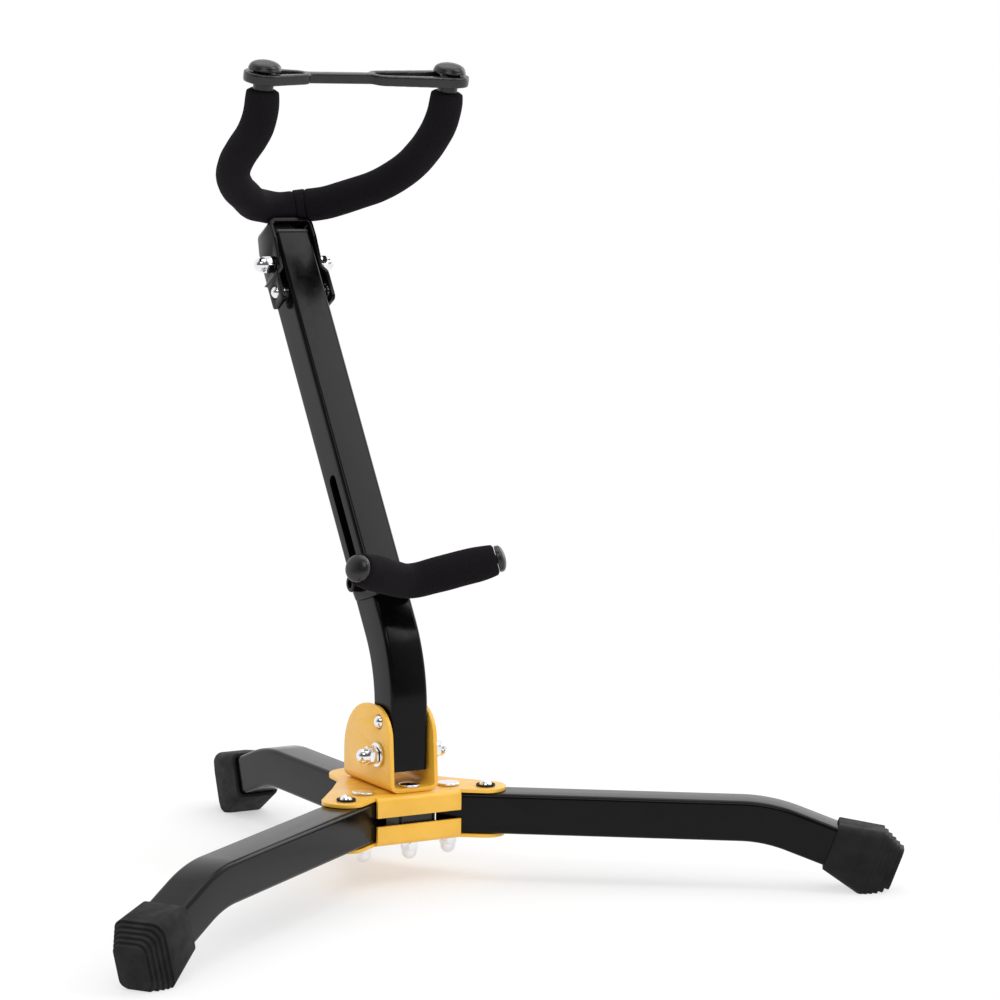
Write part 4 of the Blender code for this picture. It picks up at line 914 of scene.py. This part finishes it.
def foot_sections():
    """Sections of a foot: distance past the tube's end, half width, top, bottom and corner radius."""
    collar = TUBE / 2 + FOOT_COLLAR_WALL
    sections = [
        (-FOOT_COLLAR, collar, collar, -collar, FOOT_COLLAR_CORNER),
        (FOOT_HEEL, FOOT_HALF_WIDTH, FOOT_TOP, -FOOT_BOTTOM, FOOT_CORNER),
    ]
    for i in range(1, FOOT_STEPS + 1):
        inset = FOOT_STEP_INSET * i
        size = (FOOT_HALF_WIDTH - inset, FOOT_TOP - inset, FOOT_TOE_RISE * i * (i + 1) - FOOT_BOTTOM,
                FOOT_CORNER - FOOT_CORNER_INSET * i)
        sections.append((FOOT_HEEL + FOOT_STEP_LENGTH * (i - 1), *size))
        sections.append((FOOT_HEEL + FOOT_STEP_LENGTH * i, *size))
    return sections


def foot_mesh(shorter):
    """Moulded rubber foot: a boot that widens from a thin collar and steps in to its toe."""
    out = Vector((cos(LEG_BEND), 0.0, -sin(LEG_BEND)))
    rise = Vector((sin(LEG_BEND), 0.0, cos(LEG_BEND)))
    bend = Vector((LEG_STRAIGHT - shorter, 0.0, LEG_AXIS - LEG_BEND_RADIUS))
    end = bend + rise * LEG_BEND_RADIUS + out * LEG_TAIL
    body = bmesh.new()
    rings = []
    for along, half, top, bottom, corner in foot_sections():
        ring = []
        quarters = ((half, top), (-half, top), (-half, bottom), (half, bottom))
        for quarter, (width, height) in enumerate(quarters):
            middle = (width - copysign(corner, width), height - copysign(corner, height))
            for i in range(FOOT_CORNER_FACETS + 1):
                angle = pi / 2 * (quarter + i / FOOT_CORNER_FACETS)
                across = middle[0] + corner * cos(angle)
                up = middle[1] + corner * sin(angle)
                ring.append(body.verts.new(end + out * along + rise * up + Vector((0.0, across, 0.0))))
        rings.append(ring)
    for first, second in zip(rings, rings[1:]):
        for i in range(len(first)):
            body.faces.new((first[i - 1], first[i], second[i], second[i - 1]))
    body.faces.new(rings[0])
    body.faces.new(rings[-1])
    bmesh.ops.recalc_face_normals(body, faces=body.faces)
    return edged(mesh_of(body, "foot"), FOOT_EDGE, 50)


def foot(node, where, shorter, socket):
    """Foot with the socket that its tube sits in, cut level by the floor."""
    mesh = combined(foot_mesh(shorter), swept(socket, section=square(TUBE + 2 * GAP, TUBE_CORNER)))
    reach = LEG_STRAIGHT + LEG_BEND_RADIUS + LEG_TAIL
    mesh = combined(mesh, box((2 * reach, reach, LEG_AXIS), (reach, 0, -LEG_AXIS / 2)))
    piece(node, mesh, where, RUBBER, 40)


def legs():
    for label, side, aim in SIDES:
        heading = -(pi / 2 - LEG_SPREAD) if side > 0 else pi + (pi / 2 - LEG_SPREAD)
        where = STAND @ at(side * LEG_PIVOT_X, 0, 0) @ Matrix.Rotation(heading, 4, "Z")
        tube = hollow_tube(leg_path(LEG_ROOT, LEG_STRAIGHT, LEG_TAIL))
        tube = drilled(tube, BUSH_RADIUS + GAP, at(0, 0, LEG_AXIS))
        tube = drilled(tube, BUTTON_HOLE, at(LOBE_REACH, 0, LEG_TOP), TUBE / 2)
        piece("leg_tube_front_" + label, tube, where, BLACK)
        foot("foot_front_" + label, where, 0.0, leg_path(LEG_ROOT, LEG_STRAIGHT, LEG_TAIL + GAP))
        domed_button("leg_lock_button_" + label, LEG_TOP - TUBE_WALL, TOP_PLATE_HIGH + BUTTON_STAND,
                     where @ at(LOBE_REACH, 0, 0))
        ring = flat_ring(BUTTON_RING_RADIUS, BUTTON_HOLE, BUTTON_RING_HEIGHT, BUTTON_RING_EDGE)
        spot = at(*lobe_centre(side), TOP_PLATE_HIGH + GAP + BUTTON_RING_HEIGHT / 2)
        piece("leg_button_ring_" + label, ring, STAND @ spot, RUBBER)
    where = STAND @ Matrix.Rotation(pi / 2, 4, "Z")
    straight = LEG_STRAIGHT - REAR_LEG_SHORTER
    tube = hollow_tube(leg_path(REAR_LEG_ROOT, straight, LEG_TAIL))
    for y in (CENTRE_BOLT_Y, REAR_BOLT_Y):
        tube = drilled(tube, BOLT_HOLE, at(y, 0, LEG_AXIS))
    piece("leg_tube_rear", tube, where, BLACK)
    plug = slab(square(TUBE_INNER - 2 * GAP, MM), REAR_PLUG_DEPTH, (), 0.5 * MM)
    spot = where @ at(REAR_PLUG_DEPTH / 2 - REAR_LEG_ROOT, 0, LEG_AXIS) @ ACROSS
    piece("leg_plug_rear", plug, spot, PLASTIC)
    foot("foot_rear", where, REAR_LEG_SHORTER, leg_path(REAR_LEG_ROOT, straight, LEG_TAIL + GAP))


# Upright

def upright_path():
    """Centre line of the upright in the frame on its pivot."""
    points = [(0.0, UPRIGHT_SETBACK, -UPRIGHT_FOOT), (0.0, UPRIGHT_SETBACK, UPRIGHT_RISE)]
    for i in range(1, UPRIGHT_BEND_STEPS + 1):
        angle = LEAN * i / UPRIGHT_BEND_STEPS
        points.append((0.0, UPRIGHT_SETBACK + UPRIGHT_BEND_RADIUS * (1 - cos(angle)),
                       UPRIGHT_RISE + UPRIGHT_BEND_RADIUS * sin(angle)))
    points.append(tuple(UPRIGHT_TOP - UPRIGHT_PIVOT - ALONG * (PLUG_FLANGE + GAP)))
    return points


def upright():
    tube = hollow_tube(upright_path())
    tube = drilled(tube, BUSH_RADIUS + GAP, ACROSS)
    tube = drilled(tube, BUTTON_HOLE, at(0, 0, LOCK_SPACING) @ ACROSS)
    end = UPRIGHT.inverted() @ END
    half = SLOT_WIDTH / 2
    slot = belt(-SLOT_TOP - SLOT_LENGTH + half, half, -SLOT_TOP - half, half)
    tube = combined(tube, slab([(-across, up) for up, across in slot], THROUGH), end @ SIDE_VIEW)
    tube = drilled(tube, BUTTON_HOLE, end @ YOKE_HINGE @ at(0, 0, -LOCK_SPACING) @ ACROSS)
    tube = drilled(tube, BOLT_HOLE, end @ YOKE_HINGE @ ACROSS)
    piece("upright_tube", tube, UPRIGHT, BLACK)
    plug = slab(square(TUBE, TUBE_CORNER), PLUG_FLANGE, (), 0.7 * MM)
    plug.transform(at(0, 0, -PLUG_FLANGE / 2))
    stem = slab(square(TUBE_INNER - 2 * GAP, MM), PLUG_STEM)
    plug = combined(plug, stem, at(0, 0, -PLUG_FLANGE - PLUG_STEM / 2 + MM), "UNION")
    piece("upright_top_plug", plug, END, PLASTIC)
    for label, side, aim in SIDES:
        domed_button("upright_lock_button_" + label, TUBE_INNER / 2,
                     CLEVIS_INNER + CLEVIS_SHEET + SIDE_BUTTON_STAND, UPRIGHT @ at(0, 0, LOCK_SPACING) @ aim)
        domed_button("yoke_lock_stud_" + label, TUBE_INNER / 2, EAR_INNER + YOKE_SHEET + YOKE_STUD_STAND,
                     END @ YOKE_HINGE @ at(0, 0, -LOCK_SPACING) @ aim)


# Foam

def smooth_route(points, per_span):
    """Points of a smooth curve through the given ones."""
    line = [Vector(point) for point in points]
    line = [2 * line[0] - line[1], *line, 2 * line[-1] - line[-2]]
    route = []
    for i in range(1, len(line) - 2):
        p0, p1, p2, p3 = line[i - 1:i + 3]
        for k in range(per_span):
            t = k / per_span
            route.append(0.5 * (2 * p1 + (p2 - p0) * t + (2 * p0 - 5 * p1 + 4 * p2 - p3) * t ** 2
                                + (3 * p1 - p0 - 3 * p2 + p3) * t ** 3))
    route.append(line[-2])
    return route


def distances(route):
    total = [0.0]
    for first, second in zip(route, route[1:]):
        total.append(total[-1] + (second - first).length)
    return total


def part_of(route, start, stop, step=1.0 * MM):
    """Evenly spaced points of a route between two distances along it."""
    total = distances(route)
    count = max(2, int((stop - start) / step))
    points = []
    j = 0
    for i in range(count + 1):
        wanted = start + (stop - start) * i / count
        while j + 2 < len(total) and total[j + 1] < wanted:
            j += 1
        share = (wanted - total[j]) / (total[j + 1] - total[j])
        points.append(route[j].lerp(route[j + 1], min(1.0, max(0.0, share))))
    return points


def roughened(mesh, depth, seed):
    """Mesh with its skin moved in and out a little by a fixed noise."""
    for vertex, normal in zip(mesh.vertices, [v.normal.copy() for v in mesh.vertices]):
        spot = vertex.co * FOAM_SWAY_SCALE + Vector((seed, 0, 0))
        vertex.co += normal * (depth * noise.noise(spot))
    return mesh


def foam_sleeve(node, route, where, radius, ends, seed, sway=FOAM_SWAY):
    total = distances(route)
    length = total[-1]
    radii = []
    for here in total:
        share = 1.0
        for away, (taper, low, rim) in ((here, ends[0]), (length - here, ends[1])):
            if taper and away < taper:
                rise = sin(pi / 2 * away / taper)
                share *= low + (1 - low) * rise
        for away, (taper, low, rim) in ((here, ends[0]), (length - here, ends[1])):
            if away < rim:
                drop = 1 - sqrt(max(0.0, 1 - (1 - away / rim) ** 2))
                share *= 1 - drop * rim / radius
        radii.append(share)
    mesh = roughened(swept(route, radius, 14, radii=radii), sway, seed)
    made = piece(node, mesh, where, FOAM, 60, node.replace("foam", "foam_sleeve"))


# Fork

def fork_route():
    across = FORK_ARM * sin(FORK_SPREAD)
    ahead = FORK_ARM * cos(FORK_SPREAD)
    flat = rounded([(-across, ahead, 0.0), (0.0, 0.0, FORK_ROUND), (across, ahead, 0.0)], closed=False)
    return [
        Vector((x, -FORK_FORWARD - y * cos(FORK_TILT), -FORK_ROD_BELOW - y * sin(FORK_TILT)))
        for x, y in flat
    ]


def fork():
    inner = TUBE / 2 + GAP
    middle = inner + FORK_SHEET / 2
    web = FORK_WEB - FORK_SHEET / 2
    half = [(middle, web, FORK_BEND), (middle, -TUBE, 0.0)]
    bracket = channel(half, FORK_SHEET, THROUGH, FLIPPED, [
        (9.7 * MM, 8.0 * MM, 4 * MM),
        (6.7 * MM, -8.5 * MM, 2.5 * MM),
        (-12.6 * MM, 1.9 * MM - FORK_ROD_BELOW, 0.0),
        (-FORK_WEB - GAP, -0.6 * MM - FORK_ROD_BELOW, 0.0),
        (-FORK_WEB - GAP, -8.0 * MM, 0.0),
        (-4.0 * MM, 9.0 * MM, 5 * MM),
    ])
    bracket = drilled(bracket, BOLT_HOLE, ACROSS)
    rod_back = FORK_FORWARD + FORK_ROUND * (1 / sin(FORK_SPREAD) - 1) - ROD_RADIUS
    boss = cylinder(FORK_BOSS_RADIUS, 0.0, rod_back - GAP - web)
    bracket = combined(bracket, boss, at(0, -web, FORK_BOSS_LIFT - FORK_ROD_BELOW) @ TO_FRONT, "UNION")
    piece("fork_bracket", edged(bracket, FORK_EDGE), FORK, BLACK)
    half = inner + FORK_SHEET + GAP
    head = half + FORK_HEAD_HEIGHT
    soft = FORK_HEAD_ROUND
    rim = oval(FORK_HEAD_RADIUS - soft, head - soft, soft, soft, range(0, 91, 15))
    shank = head - MM
    pin = turned(((0.0, head), *rim, (FORK_HEAD_RADIUS, half), (BOLT_RADIUS, half), (BOLT_RADIUS, -shank),
                  (0.0, -shank)))
    pin = combined(pin, slab(hexagon(FORK_KEY_RADIUS), FORK_KEY_DEPTH), at(0, 0, head))
    piece("fork_slide_bolt", pin, FORK @ ACROSS_BACK, BLACK)
    nut = slab(hexagon(NUT_FLATS / sqrt(3)), FORK_NUT_HEIGHT, (circle((0, 0), BOLT_HOLE),))
    spot = FORK @ ACROSS @ at(0, 0, half + FORK_NUT_HEIGHT / 2)
    piece("fork_slide_nut", edged(nut, FORK_NUT_EDGE, 50), spot, BLACK)
    route = fork_route()
    piece("fork_rod", swept(route, ROD_RADIUS), FORK, BLACK)
    fine = part_of(route, 0.0, distances(route)[-1])
    foam_sleeve("fork_foam", fine, FORK, FOAM_RADIUS + 0.2 * MM, (FORK_FOAM_END, FORK_FOAM_END), 3.0,
                FORK_FOAM_SWAY)
    for label, index in (("left", 0), ("right", -1)):
        spot = route[index]
        heading = (spot - route[1 if index == 0 else -2]).normalized()
        where = FORK @ at(*spot) @ heading.to_track_quat("Z", "Y").to_matrix().to_4x4()
        piece("fork_cap_" + label, fork_cap_mesh(), where, PLASTIC)


def fork_cap_mesh():
    """Domed end cap along +Z with a soft rim and a stem that plugs the rod."""
    dome = oval(0.0, FORK_CAP_EDGE + GAP, FORK_CAP_RADIUS, FORK_CAP_DOME, range(0, 91, 9))
    return turned((*dome, (FORK_CAP_RADIUS, GAP + 0.4 * MM), (FORK_CAP_RADIUS - 0.4 * MM, GAP), *STEM))


# Yoke

def yoke_points():
    half = [Vector((x * MM, -forward * MM, up * MM)) for x, forward, up in YOKE_ROUTE]
    return [Vector((-point.x, point.y, point.z)) for point in half[:0:-1]] + half


def yoke_bracket():
    middle = EAR_INNER + YOKE_SHEET / 2
    half = [
        (middle, YOKE_BRIDGE + YOKE_SHEET / 2, YOKE_SIDE_BEND),
        (middle, -YOKE_EAR_DROP, YOKE_SHEET),
        (middle + YOKE_TAB_STEP, -YOKE_TAB_START, YOKE_SHEET),
        (middle + YOKE_TAB_STEP, -YOKE_TAB_DROP - YOKE_SHEET, 0.0),
    ]
    made = channel(half, YOKE_SHEET, 2 * TUBE, TO_FRONT, [
        (6.0 * MM, YOKE_BRIDGE + 8 * MM, 0.0),
        (6.0 * MM, YOKE_BRIDGE, 0.0),
        (10.0 * MM, -6 * MM, 5 * MM),
        (10.5 * MM, -YOKE_EAR_DROP - 2 * MM, 4 * MM),
        (4.8 * MM, -YOKE_TAB_START - 2 * MM, 2 * MM),
        (4.8 * MM, -YOKE_TAB_DROP, YOKE_TAB_CORNER),
        (-10.5 * MM, -YOKE_TAB_DROP, YOKE_TAB_CORNER),
        (-10.5 * MM, -YOKE_TAB_START, 3 * MM),
        (-13.0 * MM, -6 * MM, 6 * MM),
        (-12.5 * MM, YOKE_BRIDGE + 8 * MM, 0.0),
    ])
    made = drilled(made, BOLT_HOLE, YOKE_HINGE @ ACROSS)
    made = drilled(made, BUTTON_HOLE, YOKE_HINGE @ at(0, 0, -LOCK_SPACING) @ ACROSS)
    foot_height = YOKE_BRIDGE + YOKE_SHEET
    boss = cylinder(YOKE_BOSS_RADIUS, foot_height - MM, YOKE_ROUTE[0][2] * MM - ROD_RADIUS - GAP)
    made = combined(made, boss, at(0, -YOKE_ROUTE[0][1] * MM, 0), "UNION")
    piece("yoke_bracket", edged(made, YOKE_EDGE), END, BLACK)


def post_mesh():
    """Mushroom post along +Z: stem, neck with a flared seat, and a rimmed domed cap."""
    seat = NECK_LENGTH + GAP
    rise = CAP_HEIGHT - CAP_RIM_HEIGHT
    dome = oval(0.0, seat + CAP_RIM_HEIGHT, CAP_RADIUS - 0.5 * MM, rise, range(0, 85, 7))
    rim = oval(CAP_RADIUS - CAP_RIM_ROUND, seat + 1.5 * MM, CAP_RIM_ROUND, CAP_RIM_ROUND, range(40, 181, 20))
    waist = oval(NECK_RADIUS + NECK_FLARE, seat + 0.4 * MM - NECK_FLARE, -NECK_FLARE, NECK_FLARE,
                 range(0, 91, 18))
    return turned((*dome, *rim, *waist, (NECK_RADIUS, GAP), *STEM))


def strap_mesh(span):
    """Moulded strap from the left post: eye, plain bar and a long two-railed loop, rounded all over."""
    eye = slab(belt(0.0, STRAP_END_RADIUS, STRAP_LOOP_LENGTH, STRAP_LOOP_OUTER), STRAP_THICK,
               (belt(0.0, STRAP_EYE, STRAP_LOOP_LENGTH, STRAP_LOOP_INNER),))
    slot_start = span - STRAP_SLOT_START
    left = STRAP_LOOP_LENGTH + (STRAP_LOOP_OUTER + STRAP_LOOP_INNER) / 2
    right = slot_start - (STRAP_SLOT_OUTER + STRAP_SLOT_INNER) / 2
    bar = box((right - left, 2 * STRAP_BAR_HALF, STRAP_THICK), ((left + right) / 2, 0, 0))
    loop = slab(belt(slot_start, STRAP_SLOT_OUTER, span, STRAP_END_RADIUS), STRAP_THICK,
                (belt(slot_start, STRAP_SLOT_INNER, span, STRAP_EYE),))
    mesh = combined(eye, bar, operation="UNION")
    mesh = combined(mesh, loop, operation="UNION")
    return softened(mesh, STRAP_VOXEL, STRAP_SMOOTHING)


def yoke():
    yoke_bracket()
    points = yoke_points()
    route = smooth_route(points, 8)
    length = distances(route)[-1]
    piece("yoke_rod", swept(part_of(route, 0.0, length, 3 * MM), ROD_RADIUS), END, BLACK)
    low, high = (length / 2 + end for end in YOKE_COLLAR)
    step = GAP / 2
    foam_sleeve("yoke_foam_left", part_of(route, 0.0, low - step), END, FOAM_RADIUS,
                (YOKE_FOAM_OPEN_END, YOKE_FOAM_JOINT_END), 1.0)
    foam_sleeve("yoke_foam_collar", part_of(route, low + step, high - step, 0.5 * MM), END,
                FOAM_RADIUS + 0.15 * MM, (YOKE_COLLAR_END, YOKE_COLLAR_END), 5.0, YOKE_COLLAR_SWAY)
    foam_sleeve("yoke_foam_right", part_of(route, high + step, length), END, FOAM_RADIUS,
                (YOKE_FOAM_JOINT_END, YOKE_FOAM_OPEN_END), 2.0)
    upright_turn = Matrix.Rotation(pi / 2 - POST_ANGLE, 4, "X")
    for label, index in (("left", 0), ("right", -1)):
        piece("yoke_post_" + label, post_mesh(), END @ at(*points[index]) @ upright_turn, PLASTIC)
    strap_place = at(*JOINTS["strap_swing"]["pos_m"]) @ END.to_3x3().to_4x4() @ upright_turn
    piece("safety_strap", strap_mesh(-2 * points[0].x), strap_place, PLASTIC, 80)


# Stage

def look(location, target, roll=0.0):
    back = (Vector(location) - Vector(target)).normalized()
    turn = back.to_track_quat("Z", "Y").to_matrix().to_4x4()
    return Matrix.Translation(location) @ turn @ Matrix.Rotation(roll, 4, "Z")


def camera():
    data = bpy.data.cameras.new("camera")
    data.lens = CAMERA_LENS
    data.sensor_width = 36.0
    data.clip_start = 0.05
    right = Vector((cos(CAMERA_AZIMUTH), sin(CAMERA_AZIMUTH), 0.0))
    back = Vector((
        sin(CAMERA_AZIMUTH) * cos(CAMERA_ELEVATION),
        -cos(CAMERA_AZIMUTH) * cos(CAMERA_ELEVATION),
        sin(CAMERA_ELEVATION),
    ))
    target = right * CAMERA_ASIDE + Vector((0.0, HUB_Y, CAMERA_TARGET_HEIGHT))
    place = look(target + back * CAMERA_DISTANCE, target, CAMERA_ROLL)
    bpy.context.scene.camera = placed("camera", data, place)


def area_light(name, location, target, size, power):
    data = bpy.data.lights.new(name, "AREA")
    data.shape = "RECTANGLE"
    data.size, data.size_y = size
    data.energy = power
    placed(name, data, look(location, target))


def calculated(tree, operation, first, second):
    return add_node(tree, "Math", {0: first, 1: second}, operation=operation).outputs["Value"]


def seen_directly(tree):
    """1 for rays from the camera and for mirror and transmitted rays, 0 for diffuse light."""
    rays = add_node(tree, "LightPath", {}).outputs
    seen = calculated(tree, "MAXIMUM", rays["Is Camera Ray"], rays["Is Glossy Ray"])
    return calculated(tree, "MAXIMUM", seen, rays["Is Transmission Ray"])


def world():
    """White backdrop, which reflections see falling off to a dim room behind the camera."""
    made = bpy.data.worlds.new("studio")
    bpy.context.scene.world = made
    made.use_nodes = True
    tree = made.node_tree
    plain = tree.nodes["Background"]
    fill(tree, plain, {"Color": WHITE, "Strength": WORLD_LIGHT})
    place = add_node(tree, "TexCoord", {})
    toward = add_node(tree, "VectorMath", {
        0: place.outputs["Generated"],
        1: (sin(CAMERA_AZIMUTH), -cos(CAMERA_AZIMUTH), 0.0),
    }, operation="DOT_PRODUCT")
    fade = remap(tree, toward.outputs["Value"], 1.0, ROOM_DIM, 0.0, ROOM_FADE)
    rays = add_node(tree, "LightPath", {})
    strength = calculated(tree, "MAXIMUM", fade, rays.outputs["Is Camera Ray"])
    bright = add_node(tree, "Background", {"Color": WHITE, "Strength": strength})
    mix = add_node(tree, "MixShader", {
        "Fac": seen_directly(tree), 1: plain.outputs["Background"], 2: bright.outputs["Background"],
    })
    fill(tree, tree.nodes["World Output"], {"Surface": mix.outputs["Shader"]})


def floor():
    """Pale floor that keeps the stand's shadow and runs out to plain white away from it."""
    body = bmesh.new()
    bmesh.ops.create_grid(body, x_segments=1, y_segments=1, size=FLOOR_SIZE)
    mesh = mesh_of(body, "floor")
    made = placed("floor", mesh)
    pale = new_material("pale_floor", (0.94, 0.94, 0.94), 0.85, specular=0.1)
    tree = pale.node_tree
    place = add_node(tree, "TexCoord", {})
    distance = add_node(tree, "VectorMath", {0: place.outputs["Object"]}, operation="LENGTH")
    away = remap(tree, distance.outputs["Value"], 0.45, 1.0, 0.16, 0.48)
    share = calculated(tree, "MULTIPLY", away, seen_directly(tree))
    white = add_node(tree, "Emission", {"Strength": 1.0})
    mix = add_node(tree, "MixShader", {
        "Fac": share, 1: tree.nodes["Principled BSDF"].outputs["BSDF"], 2: white.outputs["Emission"],
    })
    fill(tree, tree.nodes["Material Output"], {"Surface": mix.outputs["Shader"]})
    mesh.materials.append(pale)


def stage():
    bpy.context.scene.view_settings.view_transform = "Standard"
    floor()
    world()
    for lamp in LAMPS:
        area_light(*lamp)


def frame_finishes():
    """Inner solids that stay as they are: springs, bushes and plain pins."""
    finishes = {
        STEEL: ["leg_lock_spring_left", "leg_lock_spring_right", "upright_lock_spring", "yoke_lock_spring"],
        CHROME: ["upright_pivot_bolt", "yoke_pivot_bolt"],
        PLASTIC: ["fork_slide_bush", "leg_pivot_bush_left", "leg_pivot_bush_right", "upright_pivot_bush"],
    }
    for finish, nodes in finishes.items():
        for node in nodes:
            for slot in frame["nodes"][node].material_slots:
                slot.material = MATERIALS[finish]


camera()
stage()
hub_plate("hub_top_plate", TOP_PLATE_LOW, -1)
hub_plate("hub_bottom_plate", BOTTOM_PLATE_LOW, 1)
clevis()
hub_fasteners()
legs()
upright()
fork()
yoke()
frame_finishes()
